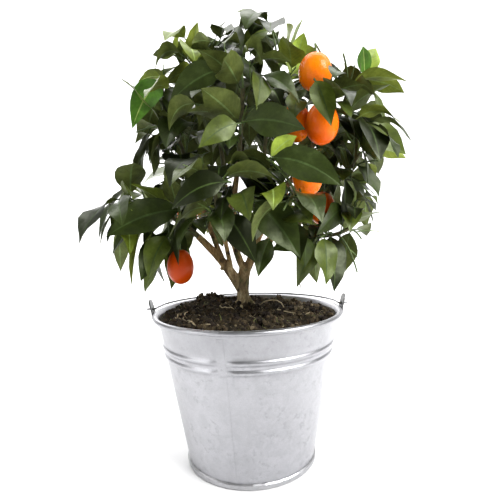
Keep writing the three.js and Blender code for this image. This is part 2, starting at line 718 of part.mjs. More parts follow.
// A mass's stem goes on from its bough's tip to the hub. The tips of its twigs are put in order along the
// stem, and each twig parts from the stem at its turn.
function planMass(mass) {
  const random = seeded(mass.seed);
  const bough = limbs[mass.bough];
  const boughRun = limbCurve(bough).getTangent(1);
  const start = v(bough.to).addScaledVector(boughRun, clear);
  const hub = v(mass.hub);
  const bend = start.clone().addScaledVector(boughRun, start.distanceTo(hub) * 0.45);
  const curve = new THREE.QuadraticBezierCurve3(start, bend, hub);
  const stem = { curve, radii: [bough.radii[1], growth.stemTip] };
  grown.twigs.push(sampleSet(curvePoints(stem.curve, 5), { twig: stem, thick: growth.stemTip }));

  const spreadTip = (i, attempt) => {
    const rise = 1 - (2 * (i + 0.5)) / mass.twigs + 0.3 * (random() - 0.5);
    const turnAngle = i * growth.goldenAngle + mass.seed + 0.9 * (random() - 0.5) + attempt * 0.7;
    const share = growth.twigShare * mix(0.85, 1.15, random());
    const flat = Math.sqrt(Math.max(0, 1 - rise * rise));
    const direction = [flat * Math.cos(turnAngle), flat * Math.sin(turnAngle), rise];
    return new THREE.Vector3(...mass.centre.map((c, k) => c + mass.reach[k] * direction[k] * share));
  };
  const tips = [
    ...mass.fruit.map((fruit) => ({ at: stalkTop(fruit), droop: 1 })),
    ...mass.shoots.map(({ to, leaves }) => ({ at: v(to), droop: 0.4, leaves })),
    ...Array.from({ length: mass.twigs }, (_, i) => ({ at: spreadTip(i, 0), droop: 1, spread: i })),
  ];
  const run = hub.clone().sub(start).normalize();
  tips.sort((a, b) => a.at.clone().sub(b.at).dot(run));
  tips.forEach((tip, rank) => {
    tip.share = mix(growth.firstTwig, 1, rank / (tips.length - 1));
  });
  return { mass, random, stem, tips, spreadTip, twigs: [], leaves: [] };
}

function stalkTop({ at, length }) {
  return v(at).addScaledVector(up, length / 2 + growth.stalk);
}

function placeTwig({ random, stem, twigs }, curve, { droop, leaves = [] }) {
  const side = bendAxis(curve).multiplyScalar(random() < 0.5 ? 1 : -1);
  const twig = { curve, radii: growth.twigRadii, droop, side, leaves };
  twigs.push(twig);
  grown.twigs.push(sampleSet(curvePoints(curve, 5), { twig, thick: growth.twigRadii[1] }));
}

// The twigs that carry the fruit and the named leaves come first.
function growShoots(plan) {
  for (const tip of plan.tips.filter(({ spread }) => spread === undefined)) {
    placeTwig(plan, twigTo(plan.stem.curve, tip.share, tip.at), tip);
  }
}

// A spread twig tries other tips until it is free of all that stands already, or is skipped.
function growSpreadTwigs(plan) {
  const { stem } = plan;
  for (const tip of plan.tips.filter(({ spread }) => spread !== undefined)) {
    for (let attempt = 1; attempt <= growth.tries; attempt++) {
      const curve = twigTo(stem.curve, tip.share, tip.at);
      const samples = sampleSet(curvePoints(curve, 5));
      const outer = { ...samples, points: samples.points.slice(2) };
      const free = !samples.points.some(inKeepOut) && !fruitHit(outer, growth.fruitGap)
        && roomTo(limbSets, outer, growth.limbGap) >= growth.limbGap
        && roomTo(grown.leaves, outer, growth.twigGap) >= growth.twigGap
        && roomTo(grown.twigs, outer, growth.twigGap, (set) => set.twig === stem) >= growth.twigGap;
      if (free) {
        placeTwig(plan, curve, tip);
        break;
      }
      tip.at = plan.spreadTip(tip.spread, attempt);
    }
  }
}

function growShootLeaves({ mass, random, twigs, leaves }) {
  const keep = (leaf) => {
    const samples = sampleSet(leafSamples(leaf), { mass, twig: leaf.twig });
    const room = leafRoom(mass, leaf, samples, (set) => set.twig === leaf.twig);
    if (room <= 0) return;
    grown.leaves.push(samples);
    leaves.push(leaf);
  };
  for (const twig of twigs) twig.leaves.forEach((tip, rank) => keep(leafTo(twig, rank, v(tip), random)));
}

function growLeaves({ mass, random, twigs, leaves }) {
  for (const twig of twigs) {
    const length = twig.curve.getPoint(0).distanceTo(twig.curve.getPoint(1));
    const count = Math.max(3, Math.round((length * (1 - growth.leafFrom)) / growth.leafSpacing) + 1);
    const firstFace = Math.floor(random() * 3);
    for (let j = count - 1 - twig.leaves.length; j >= 0; j--) {
      const share = mix(growth.leafFrom, 1, j / (count - 1));
      let best = null;
      for (let attempt = 0; attempt < growth.tries; attempt++) {
        const scale = mix(1, growth.leastScale, attempt / growth.tries);
        const leaf = leafOn(twig, share, firstFace + j + attempt, random, scale);
        const samples = sampleSet(leafSamples(leaf), { mass });
        const room = leafRoom(mass, leaf, samples);
        if (room > (best?.room ?? 0)) best = { room, leaf, samples };
      }
      if (!best) continue;
      grown.leaves.push(best.samples);
      leaves.push(best.leaf);
    }
  }
}

// ------------------------------------------------ solids of the foliage
// A leaf is a three-sided bar: two edges, and a keel under them where its midrib runs.
function leafSolid(leaf) {
  const rings = [0, growth.widest, 0.76, 1];
  const ring = (t) => rings[Math.round(t * 3)];
  const section = (t) => {
    if (t < 0.01 || t > 0.99) return [0, 0];
    const halfWidth = leafOutline(ring(t)) * leaf.width;
    return [halfWidth / Math.sin(Math.PI / 3), -(growth.leafThickness + growth.fold * halfWidth) / 1.5];
  };
  const blade = new THREE.Curve();
  blade.getPoint = (t) => leaf.curve.getPoint(ring(t));
  blade.getTangent = (t) => leaf.curve.getTangent(ring(t));
  return bentBar(blade, 3, 3, section, leaf.side);
}

function twigSolid({ curve, radii, side }, sides = 3) {
  return bentBar(curve, 2, sides, (t) => [mix(...radii, t), mix(...radii, t)], side);
}

function fruitSolid({ at, width, length }) {
  const ball = new THREE.SphereGeometry(0.5, 8, 6).rotateX(Math.PI / 2);
  const body = ball.scale(width, width, length).translate(...at);
  const inBall = v(at).addScaledVector(up, length / 2 - 2);
  const stalk = bentBar(new THREE.LineCurve3(inBall, stalkTop({ at, length })), 1, 3, () => [1, 1]);
  return solidOf(body).add(stalk);
}

// Twigs, leaves and fruit joined as one solid. A piece too near the limbs or another mass is left out.
function massSolid({ mass, stem, twigs, leaves }, neighbours) {
  const free = (solid) => neighbours.every((other) => solid.minGap(other, clear) >= clear);
  const parts = [twigSolid(stem, 5), ...mass.fruit.map(fruitSolid)];
  for (const twig of twigs) {
    const wood = twigSolid(twig);
    const blades = leaves.filter((leaf) => leaf.twig === twig).map(leafSolid);
    if (free(wood)) parts.push(wood, ...blades.filter(free));
  }
  const joined = wasm.Manifold.union(parts).simplify(0.1);
  // Welding may let go of a leaf that hardly holds.
  return largest(solidOf(meshOf('joined', joined).geometry));
}

// ------------------------------------------------ the whole tree
const tree = new THREE.Group();
const add = (name, solid, material) => tree.add(meshOf(name, solid, material));

add('bucket', bucketShell(), finishes.zinc);
add('base_hoop', baseHoop(), finishes.zinc);
const rightEar = bailEar();
add('right_ear', rightEar, finishes.zinc);
add('left_ear', rightEar.mirror([1, 0, 0]), finishes.zinc);
for (const [place, y] of [['front', -ear.rivetSpread], ['back', ear.rivetSpread]]) {
  const made = earRivet(y);
  add(`right_${place}_rivet`, made, finishes.zinc);
  add(`left_${place}_rivet`, made.mirror([1, 0, 0]), finishes.zinc);
}
add('bail', bailWire(), finishes.wire);
add('soil', soilFill(), finishes.soil);
const woods = limbSolids();
for (const [name, solid] of Object.entries(woods)) add(name, solid, finishes.bark);

for (const mass of Object.values(masses)) {
  for (const fruit of mass.fruit) grown.fruit.push({ ...fruit, centre: v(fruit.at) });
}
const plans = Object.values(masses).map(planMass);
plans.forEach(growShoots);
plans.forEach(growShootLeaves);
plans.forEach(growSpreadTwigs);
plans.forEach(growLeaves);
const neighbours = Object.values(woods);
for (const [index, name] of Object.keys(masses).entries()) {
  const solid = massSolid(plans[index], neighbours);
  neighbours.push(solid);
  add(name, solid, finishes.foliage);
}

export default tree;
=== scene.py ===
import math

import bpy
import numpy as np
from mathutils import Matrix, Vector


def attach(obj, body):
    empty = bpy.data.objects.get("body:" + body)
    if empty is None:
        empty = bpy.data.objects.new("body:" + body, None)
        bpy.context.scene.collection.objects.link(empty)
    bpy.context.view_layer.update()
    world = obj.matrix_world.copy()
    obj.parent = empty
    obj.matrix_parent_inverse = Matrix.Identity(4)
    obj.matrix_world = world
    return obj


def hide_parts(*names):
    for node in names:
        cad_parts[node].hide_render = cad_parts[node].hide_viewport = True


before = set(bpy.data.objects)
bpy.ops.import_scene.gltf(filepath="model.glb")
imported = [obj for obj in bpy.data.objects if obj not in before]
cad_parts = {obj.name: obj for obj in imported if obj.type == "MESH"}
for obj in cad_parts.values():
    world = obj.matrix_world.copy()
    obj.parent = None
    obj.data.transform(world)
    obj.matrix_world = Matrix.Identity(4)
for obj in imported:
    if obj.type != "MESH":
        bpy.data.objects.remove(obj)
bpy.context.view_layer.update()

mm = 0.001  # the growing rule below works in millimetres, as the solids' source does
treeBody, bailBody = "tree", "bail"

# Small helpers for meshes and materials


def mix(a, b, t):
    return a + (b - a) * t


def shade(color, factor, lift=0.0):
    return tuple(min(1.0, factor * c + lift) for c in color)


def deselectAll():
    if bpy.context.object and bpy.context.object.mode != "OBJECT":
        bpy.ops.object.mode_set(mode="OBJECT")
    bpy.ops.object.select_all(action="DESELECT")


def makeActive(piece):
    deselectAll()
    piece.select_set(True)
    bpy.context.view_layer.objects.active = piece


def smoothByAngle(piece, degrees):
    makeActive(piece)
    bpy.ops.object.shade_smooth_by_angle(angle=math.radians(degrees))


def applyPlace(piece):
    makeActive(piece)
    bpy.ops.object.transform_apply(location=True, rotation=True, scale=True)


def pieceFromArrays(name, points, faces, materials, slots=None, smooth=True):
    # points in millimetres
    mesh = bpy.data.meshes.new(name)
    mesh.from_pydata((np.asarray(points) * mm).tolist(), [], faces)
    for material in materials:
        mesh.materials.append(material)
    if slots is not None:
        mesh.polygons.foreach_set("material_index", slots)
    mesh.polygons.foreach_set("use_smooth", [smooth] * len(faces))
    mesh.update()
    piece = bpy.data.objects.new(name, mesh)
    bpy.context.scene.collection.objects.link(piece)
    return piece


def place(piece, body, slot, *nodes):
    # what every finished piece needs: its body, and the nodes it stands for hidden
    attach(piece, body)
    if nodes:
        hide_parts(*nodes)


class Finish:
    # a material with its nodes added one after another
    def __init__(self, name, color, roughness, metallic=0.0, **sockets):
        self.material = bpy.data.materials.new(name)
        self.material.use_nodes = True
        self.tree = self.material.node_tree
        self.shader = self.tree.nodes["Principled BSDF"]
        self.shader.inputs["Base Color"].default_value = (*color, 1)
        self.shader.inputs["Roughness"].default_value = roughness
        self.shader.inputs["Metallic"].default_value = metallic
        for socket, value in sockets.items():
            self.shader.inputs[socket.replace("_", " ")].default_value = value
        self.coords = self.tree.nodes.new("ShaderNodeTexCoord")

    def add(self, kind, inputs=None, **settings):
        node = self.tree.nodes.new("ShaderNode" + kind)
        for key, value in settings.items():
            setattr(node, key, value)
        for key, value in (inputs or {}).items():
            if isinstance(value, bpy.types.NodeSocket):
                self.tree.links.new(value, node.inputs[key])
            else:
                node.inputs[key].default_value = value
        return node

    def link(self, output, socket):
        self.tree.links.new(output, self.shader.inputs[socket])

    def stretched(self, scale):
        return self.add("Mapping", {"Vector": self.coords.outputs["Object"], "Scale": scale}).outputs[0]

    def rise(self, low, high):
        # 0 below one height and 1 above the other
        height = self.add("SeparateXYZ", {0: self.coords.outputs["Object"]}).outputs["Z"]
        return self.add("MapRange", {"Value": height, "From Min": low, "From Max": high}).outputs[0]

    def noise(self, scale, detail=3.0, rough=0.5, vector=None, distortion=0.0):
        inputs = {"Vector": vector or self.coords.outputs["Object"], "Scale": scale}
        inputs.update({"Detail": detail, "Roughness": rough, "Distortion": distortion})
        return self.add("TexNoise", inputs).outputs["Fac"]

    def cells(self, scale, output="Distance"):
        inputs = {"Vector": self.coords.outputs["Object"], "Scale": scale}
        return self.add("TexVoronoi", inputs).outputs[output]

    def ramp(self, value, *stops):
        # stops are (place, color) pairs, a color being three numbers or a single grey
        ramp = self.add("ValToRGB", {"Fac": value})
        elements = ramp.color_ramp.elements
        while len(elements) < len(stops):
            elements.new(0.5)
        for element, (spot, color) in zip(elements, stops):
            element.position = spot
            element.color = (*color, 1) if isinstance(color, tuple) else (color, color, color, 1)
        return ramp.outputs["Color"]

    def math(self, operation, a, b=0.0):
        return self.add("Math", {0: a, 1: b}, operation=operation).outputs[0]

    def blendColors(self, factor, a, b):
        node = self.add("Mix", data_type="RGBA")
        sockets = [s for s in node.inputs if s.type in ("VALUE", "RGBA") and s.enabled]
        for key, value in (("Factor", factor), ("A", a), ("B", b)):
            socket = next(s for s in sockets if s.name == key)
            if isinstance(value, bpy.types.NodeSocket):
                self.tree.links.new(value, socket)
            else:
                socket.default_value = (*value, 1) if isinstance(value, tuple) else value
        return next(s for s in node.outputs if s.type == "RGBA")

    def bump(self, *layers):
        # layers are (height, strength, distance) triples, the coarsest first
        normal = None
        for height, strength, distance in layers:
            inputs = {"Height": height, "Strength": strength, "Distance": distance}
            if normal:
                inputs["Normal"] = normal
            normal = self.add("Bump", inputs).outputs["Normal"]
        self.link(normal, "Normal")


def zincFinish(name, spangle, tint):
    # hot-dip zinc: soft crystals, faint clouds and fine grain
    zinc = Finish(name, tint, 0.3, 1.0)
    crystals = zinc.cells(spangle, "Color")
    grey = zinc.add("RGBToBW", {0: crystals}).outputs[0]
    clouds = zinc.noise(16, 5, 0.6)
    patches = zinc.noise(34, 3, 0.6)
    specks = zinc.ramp(zinc.noise(190, 4, 0.6), (0.36, 1.0), (0.47, 0.0))
    specks = zinc.math("MULTIPLY", specks, zinc.ramp(patches, (0.44, 0.1), (0.6, 0.8)))
    mottle = zinc.ramp(zinc.noise(75, 6, 0.7, distortion=0.6), (0.38, 0.45), (0.58, 0.0))
    grain = zinc.noise(1500, 2, 0.6)
    paintedShadeBand = zinc.rise(0.122, 0.136)  # painted shade: the strip above the ribs is painted a little darker, for the dim reflection it shows there
    base = zinc.blendColors(zinc.ramp(grey, (0.2, 0.0), (0.9, 1.0)), shade(tint, 0.93), tint)
    base = zinc.blendColors(zinc.ramp(clouds, (0.38, 0.0), (0.62, 1.0)), shade(tint, 0.93), base)
    base = zinc.blendColors(mottle, base, shade(tint, 0.72))
    base = zinc.blendColors(specks, base, shade(tint, 0.7))
    # painted shade on the strip above the ribs, blended into the base colour
    base = zinc.blendColors(zinc.math("MULTIPLY", paintedShadeBand, 0.22), base, shade(tint, 0.3))
    base = zinc.blendColors(zinc.ramp(grain, (0.3, 0.35), (0.6, 0.0)), base, shade(tint, 0.6))
    zinc.link(base, "Base Color")
    rough = zinc.math("MULTIPLY_ADD", grey, 0.05)
    rough.node.inputs[2].default_value = 0.27
    rough = zinc.math("ADD", rough, zinc.math("MULTIPLY", clouds, 0.12))
    zinc.link(rough, "Roughness")
    zinc.bump((zinc.noise(9, 2), 0.25, 0.0016), (grey, 0.15, 0.0003), (grain, 0.5, 0.00025))
    return zinc.material


def wireFinish():
    wire = Finish("wireSteel", (0.42, 0.42, 0.43), 0.34, 1.0)
    wear = wire.noise(120, 4, 0.6)
    wire.link(wire.ramp(wear, (0.3, (0.11, 0.11, 0.11)), (0.7, (0.34, 0.34, 0.35))), "Base Color")
    wire.link(wire.ramp(wear, (0.2, 0.5), (0.8, 0.26)), "Roughness")
    wire.bump((wire.noise(900, 3), 0.2, 0.0001))
    return wire.material


def soilFinish(name, dark, light, scale=260.0):
    soil = Finish(name, dark, 0.95, Specular_IOR_Level=0.2)
    grain = soil.noise(scale, 6, 0.7)
    patches = soil.noise(45, 3)
    color = soil.blendColors(soil.ramp(grain, (0.32, 0.0), (0.72, 1.0)), dark, light)
    color = soil.blendColors(soil.ramp(patches, (0.35, 0.0), (0.65, 0.7)), color, shade(dark, 0.6))
    soil.link(color, "Base Color")
    soil.bump((grain, 0.9, 0.0012), (soil.noise(900, 3, 0.7), 0.6, 0.0004))
    return soil.material


def fibreFinish(name, color):
    fibre = Finish(name, color, 0.8, Specular_IOR_Level=0.25)
    streaks = fibre.noise(420, 3)
    fibre.link(fibre.ramp(streaks, (0.3, shade(color, 0.5)), (0.7, color)), "Base Color")
    fibre.bump((streaks, 0.4, 0.0002))
    return fibre.material


def barkFinish():
    # pale and greyish at the foot, browner above, with lengthwise cracks and lichen
    bark = Finish("citrusBark", (0.25, 0.2, 0.12), 0.85, Specular_IOR_Level=0.3)
    ridged = bark.noise(150, 6, 0.65, bark.stretched((1, 1, 0.28)), 0.6)
    fine = bark.noise(620, 4, 0.6, bark.stretched((1, 1, 0.4)))
    lichen = bark.noise(85, 4, 0.6)
    footTones = (0.36, (0.09, 0.065, 0.034)), (0.5, (0.42, 0.33, 0.18)), (0.66, (0.74, 0.64, 0.43))
    upperTones = (0.36, (0.030, 0.017, 0.008)), (0.52, (0.24, 0.145, 0.055)), (0.7, (0.5, 0.35, 0.15))
    foot, upper = bark.ramp(ridged, *footTones), bark.ramp(ridged, *upperTones)
    color = bark.blendColors(bark.rise(0.158, 0.212), foot, upper)
    color = bark.blendColors(bark.ramp(lichen, (0.52, 0.0), (0.66, 0.55)), color, (0.17, 0.19, 0.07))
    color = bark.blendColors(bark.ramp(fine, (0.3, 0.7), (0.5, 0.0)), color, (0.05, 0.035, 0.02))
    bark.link(color, "Base Color")
    bark.bump((ridged, 1.0, 0.0016), (fine, 0.6, 0.0005))
    return bark.material


def twigFinish(name, dark, light):
    twig = Finish(name, dark, 0.6, Specular_IOR_Level=0.4)
    streaks = twig.noise(240, 4, 0.6)
    twig.link(twig.ramp(streaks, (0.32, dark), (0.7, light)), "Base Color")
    twig.bump((streaks, 0.4, 0.0003))
    return twig.material


def leafFinish(name, color, roughness, veins=0.5, specular=0.31):
    # a leathery blade: clouded colour, side veins along the leaf's own map, a soft gloss
    leaf = Finish(name, color, roughness, Specular_IOR_Level=specular, Specular_Tint=(0.9, 1.0, 0.66, 1))
    split = leaf.add("SeparateXYZ", {0: leaf.coords.outputs["UV"]})
    across = leaf.math("ABSOLUTE", leaf.math("SUBTRACT", split.outputs["Y"], 0.5))
    along = leaf.math("MULTIPLY", split.outputs["X"], 11.0)
    vein = leaf.math("PINGPONG", leaf.math("SUBTRACT", along, leaf.math("MULTIPLY", across, 6.0)), 0.5)
    ridge = leaf.ramp(vein, (0.0, 1.0), (0.16, 0.0))
    clouds = leaf.noise(85, 5, 0.66)
    tone = leaf.ramp(clouds, (0.32, shade(color, 0.58)), (0.53, color), (0.72, shade(color, 1.5, 0.006)))
    tone = leaf.blendColors(leaf.math("MULTIPLY", ridge, 0.22 * veins), tone, shade(color, 2.0))
    leaf.link(tone, "Base Color")
    leaf.link(leaf.ramp(clouds, (0.3, roughness + 0.1), (0.7, roughness - 0.07)), "Roughness")
    buckles, pores = leaf.noise(55, 3), leaf.noise(520, 2)
    leaf.bump((buckles, 0.5, 0.002), (ridge, -0.4 * veins, 0.0004), (pores, 0.15, 0.0002))
    return leaf.material


def peelFinish(name, ripe, blush):
    # orange peel: oil glands as fine dimples, a redder blush in clouds
    peel = Finish(name, ripe, 0.3, Specular_IOR_Level=0.16, Coat_Weight=0.08, Coat_Roughness=0.12,
                  Subsurface_Weight=0.1, Subsurface_Scale=0.002, Subsurface_Radius=(1.0, 0.35, 0.1))
    clouds = peel.noise(46, 3, 0.5)
    glands = peel.cells(760)
    color = peel.ramp(clouds, (0.3, ripe), (0.72, blush))
    color = peel.blendColors(peel.ramp(glands, (0.1, 0.16), (0.45, 0.0)), color, shade(blush, 0.6))
    peel.link(color, "Base Color")
    peel.link(peel.ramp(clouds, (0.3, 0.24), (0.7, 0.34)), "Roughness")
    peel.bump((peel.noise(120, 2), 0.15, 0.0008), (glands, 0.5, 0.0003))
    return peel.material


zinc = zincFinish("zincSpangle", 95.0, (0.505, 0.505, 0.53))
zincTrim = zincFinish("zincTrim", 180.0, (0.52, 0.52, 0.535))
earSteel = zincFinish("earSteel", 240.0, (0.17, 0.17, 0.17))
wireSteel = wireFinish()
print("materials for the metal are ready")

# The bucket: modelled by extruding a ring upwards along its profile
bucket = {
    "height": 157.0,
    "baseRadius": 66.2,
    "topRadius": 94.8,
    "wall": 1.2,
    "floor": 2.5,
    "footLift": 1.6,  # how far the bottom sheet stands off the ground
    "beadRadius": 2.5,
    "beadSteps": 12,
    "beadTurn": (-165, 120),  # degrees that the rolled rim goes round
    "ribHeights": (117.0, 126.0),
    "ribHalfWidth": 3.3,
    "ribRise": 1.6,
    "ribStep": 0.55,
    "ribFade": 6.0,  # how far either side of the seam the ribs fade out
    "sides": 160,
    "seamAngle": -105.5,  # degrees round from +X, a little left of the front
    "seamSize": (0.9, 7.0, 140.0),  # thickness, width and length
    "seamMiddle": 78.5,
    "seamCuts": 9,
    "seamBevel": 0.25,
}


def wallRadius(z):
    return bucket["baseRadius"] + (bucket["topRadius"] - bucket["baseRadius"]) * z / bucket["height"]


def ribRise(z):
    # a rib stands out as a smooth half wave
    rise = 0.0
    for height in bucket["ribHeights"]:
        away = abs(z - height) / bucket["ribHalfWidth"]
        if away < 1:
            rise += bucket["ribRise"] * math.cos(away * math.pi / 2) ** 1.3
    return rise


def bucketProfile():
    # (radius, height) pairs: the bottom outwards, up the wall, round the rolled rim and down inside
    base, rib, bead = bucket["baseRadius"], bucket["ribHalfWidth"], bucket["beadRadius"]
    profile = [(2.0, bucket["footLift"]), (base - 3.5, bucket["footLift"]), (base - 2.6, 0.9)]
    profile += [(base - 2.0, 0.0), (base, 0.0)]
    profile += [(wallRadius(z), z) for z in (4.0, 8.0, 30.0, 60.0, 90.0, 108.0)]
    low, high = bucket["ribHeights"][0] - rib, bucket["ribHeights"][1] + rib
    for z in np.arange(low, high + 0.01, bucket["ribStep"]):
        profile.append((wallRadius(z) + ribRise(z), float(z)))
    profile += [(wallRadius(z), z) for z in (134.0, 143.0, 148.0)]
    beadR, beadZ = bucket["topRadius"] + bead, bucket["height"] - bead
    first, last = bucket["beadTurn"]
    for step in range(bucket["beadSteps"] + 1):
        turn = math.radians(first + (last - first) * step / bucket["beadSteps"])
        profile.append((beadR + bead * math.cos(turn), beadZ + bead * math.sin(turn)))
    profile += [(bucket["topRadius"] - 0.6, beadZ + 0.6)]
    inner = (150.0, 140.0, 90.0, 40.0, bucket["floor"] + 1)
    profile += [(wallRadius(z) - bucket["wall"], z) for z in inner]
    profile += [(base - bucket["wall"] - 1, bucket["floor"]), (2.0, bucket["floor"])]
    return profile


def extrudeRing(profile, sides):
    # a ring is extruded from point to point of the profile, and the two last rings are filled
    (radius, z), rest = profile[0], profile[1:]
    deselectAll()
    bpy.ops.mesh.primitive_circle_add(vertices=sides, radius=radius * mm, fill_type="NGON",
                                      location=(0, 0, z * mm))
    made = bpy.context.object
    applyPlace(made)
    bpy.ops.object.mode_set(mode="EDIT")
    bpy.ops.mesh.select_all(action="SELECT")
    for nextRadius, nextZ in rest:
        bpy.ops.mesh.extrude_region_move(TRANSFORM_OT_translate={"value": (0, 0, (nextZ - z) * mm)})
        grow = nextRadius / radius
        bpy.ops.transform.resize(value=(grow, grow, 1), center_override=(0, 0, nextZ * mm))
        radius, z = nextRadius, nextZ
    bpy.ops.mesh.select_all(action="SELECT")
    bpy.ops.mesh.remove_doubles(threshold=0.00001)
    bpy.ops.mesh.normals_make_consistent(inside=False)
    bpy.ops.object.mode_set(mode="OBJECT")
    return made


def makeBucket():
    shell = extrudeRing(bucketProfile(), bucket["sides"])
    shell.name = shell.data.name = "zinc_bucket"
    seam = math.radians(bucket["seamAngle"])
    for vertex in shell.data.vertices:
        x, y, z = vertex.co / mm
        rise = ribRise(z)
        if rise <= 0 or math.hypot(x, y) < wallRadius(z) - 0.2:
            continue
        turn = (math.atan2(y, x) - seam + math.pi) % (2 * math.pi) - math.pi
        near = abs(turn) * wallRadius(z) / bucket["ribFade"]
        keep = min(1.0, max(0.0, near - 0.35) ** 1.5)
        scale = (wallRadius(z) + rise * keep) / math.hypot(x, y)
        vertex.co.x *= scale
        vertex.co.y *= scale
    shell.data.materials.append(zinc)
    smoothByAngle(shell, 50)
    return shell


def makeLockSeam():
    # the strip where the sheet's two ends lock together, from the foot to the rim
    deselectAll()
    bpy.ops.mesh.primitive_cube_add(size=1, location=(0, 0, 0))
    strip = bpy.context.object
    strip.name = strip.data.name = "lock_seam"
    strip.scale = Vector(bucket["seamSize"]) * mm
    applyPlace(strip)
    bpy.ops.object.mode_set(mode="EDIT")
    bpy.ops.mesh.select_all(action="SELECT")
    bpy.ops.mesh.subdivide(number_cuts=bucket["seamCuts"])
    bpy.ops.object.mode_set(mode="OBJECT")
    bevel = strip.modifiers.new("softEdges", "BEVEL")
    bevel.width, bevel.segments, bevel.limit_method = bucket["seamBevel"] * mm, 2, "ANGLE"
    bpy.ops.object.modifier_apply(modifier="softEdges")
    seam = math.radians(bucket["seamAngle"])
    for vertex in strip.data.vertices:
        depth, across, rise = vertex.co / mm
        z = bucket["seamMiddle"] + rise
        radius = wallRadius(z) + 0.1 + depth * 0.5
        turn = seam + across / wallRadius(z)
        vertex.co = Vector((radius * math.cos(turn), radius * math.sin(turn), z)) * mm
    strip.data.materials.append(zinc)
    smoothByAngle(strip, 40)
    return strip


place(makeBucket(), treeBody, "zinc", "bucket")
place(makeLockSeam(), treeBody, "zinc")
fittings = {"base_hoop": zincTrim, "bail": wireSteel}
for side in ("right", "left"):
    for fitting in ("ear", "front_rivet", "back_rivet"):
        fittings[side + "_" + fitting] = earSteel
for nodeName, finish in fittings.items():
    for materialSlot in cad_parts[nodeName].material_slots:
        materialSlot.material = finish
print("the bucket is made")

# The soil: a crumbly surface with crumbs, fibres and a few sprouts on it
soil = {
    "edge": 152.2,
    "middle": 154.6,
    "depth": 9.0,
    "wallGap": 0.35,
    "rings": 84,
    "spokes": 220,
    "roughness": 3.8,
    "grains": ((11, 0.6), (5, 0.55), (2.4, 0.45), (1.1, 0.25)),  # size and share of each unevenness
    "heaps": (  # x, y, height and spread
        (-46, 58, 8.5, 22), (-60, 10, 2.5, 24), (46, 52, -3.4, 34),
        (20, -50, 1.6, 26), (40, 66, 3.5, 9)),
    "foot": (-3, 19, 2.6, 15),  # the heap drawn up round the trunk
    "crumbs": 3200,
    "crumbSize": (0.5, 2.8),  # the least, and what the largest are more
    "crumbShares": (0.44, 0.24, 0.26, 0.06),
    "footCrumbs": 260,
    "footReach": (8, 17),
    "fibres": 460,
    "fibreLength": (3, 13),
    "fibreBend": 1.6,
    "fibreRadii": (0.13, 0.34),
    "fibreShares": (0.34, 0.3, 0.24, 0.12),
    "seed": 4107,
    "root": (
        (14, 33, 153.6), (19, 35, 156.8), (27, 36, 158.4),
        (35, 33, 158.2), (39, 27, 156.4), (41, 20, 153)),
    "rootRadii": (0.8, 0.85, 0.8, 0.75, 0.65, 0.5),
    "straws": (  # start, end, bow to the side and lift at the end
        ((-68, -38), (-62, -14), 1.0, 4.0),
        ((-68, -36), (-69, -18), -2.0, 3.0),
        ((-72, -30), (-50, -60), 2.0, 1.0),
        ((-56, -54), (-34, -68), 0.0, 0.5),
        ((30, -22), (62, -34), 2.0, 1.5),
        ((-30, 8), (-14, -8), -2.0, 1.0),
    ),
    "strawRise": 1.7,
    "sprouts": (  # x, y, height and lean
        (-52, 52, 11, 0.5), (-25, -52, 7, -0.3), (36, 40, 8, 0.4), (-66, 6, 9, -0.5), (4, -60, 6, 0.6)),
}


def heap(x, y, middleX, middleY, height, spread):
    return height * np.exp(-((x - middleX) ** 2 + (y - middleY) ** 2) / spread**2)


def soilHeight(x, y):
    away = np.hypot(x, y) / wallRadius(soil["edge"])
    crown = soil["edge"] + (soil["middle"] - soil["edge"]) * (1 - away**2)
    heaps = sum(heap(x, y, *form) for form in soil["heaps"])
    return crown + heaps + 0.7 * np.sin(x / 7) * np.cos(y / 8)


def latticeNoise(x, y, size, seed):
    # smooth noise from a seeded lattice of numbers, between -1 and 1
    table = np.random.RandomState(seed).uniform(-1, 1, (97, 97))
    u, w = x / size + 500.0, y / size + 500.0
    i, j = np.floor(u).astype(int), np.floor(w).astype(int)
    a, b = u - i, w - j
    a, b = a * a * (3 - 2 * a), b * b * (3 - 2 * b)

    def at(di, dj):
        return table[(i + di) % 97, (j + dj) % 97]

    return (at(0, 0) * (1 - a) + at(1, 0) * a) * (1 - b) + (at(0, 1) * (1 - a) + at(1, 1) * a) * b


def soilSurface(x, y):
    grains = enumerate(soil["grains"])
    rough = sum(latticeNoise(x, y, size, 11 + k) * share for k, (size, share) in grains)
    fade = np.clip((wallRadius(soil["edge"]) - 2.2 - np.hypot(x, y)) / 6, 0.15, 1)
    return soilHeight(x, y) + heap(x, y, *soil["foot"]) + rough * soil["roughness"] * fade


def groundAt(x, y):
    return float(soilSurface(np.array([float(x)]), np.array([float(y)]))[0])


def ringFaces(first, rings, sides, rising=False):
    # faces from each ring of corners to the next, turned so that they look away from the rings' inside
    faces = []
    for ring in range(rings - 1):
        for s in range(sides):
            n = (s + 1) % sides
            a, b = first + ring * sides, first + (ring + 1) * sides
            faces.append((a + s, a + n, b + n, b + s) if rising else (a + s, b + s, b + n, a + n))
    return faces


def closedRings(rings, sides):
    # the same with one corner before the first ring and one after the last, each fanned to its ring
    last, bottom = 1 + rings * sides, 1 + (rings - 1) * sides
    faces = [(0, 1 + s, 1 + (s + 1) % sides) for s in range(sides)] + ringFaces(1, rings, sides)
    return faces + [(bottom + (s + 1) % sides, bottom + s, last) for s in range(sides)]


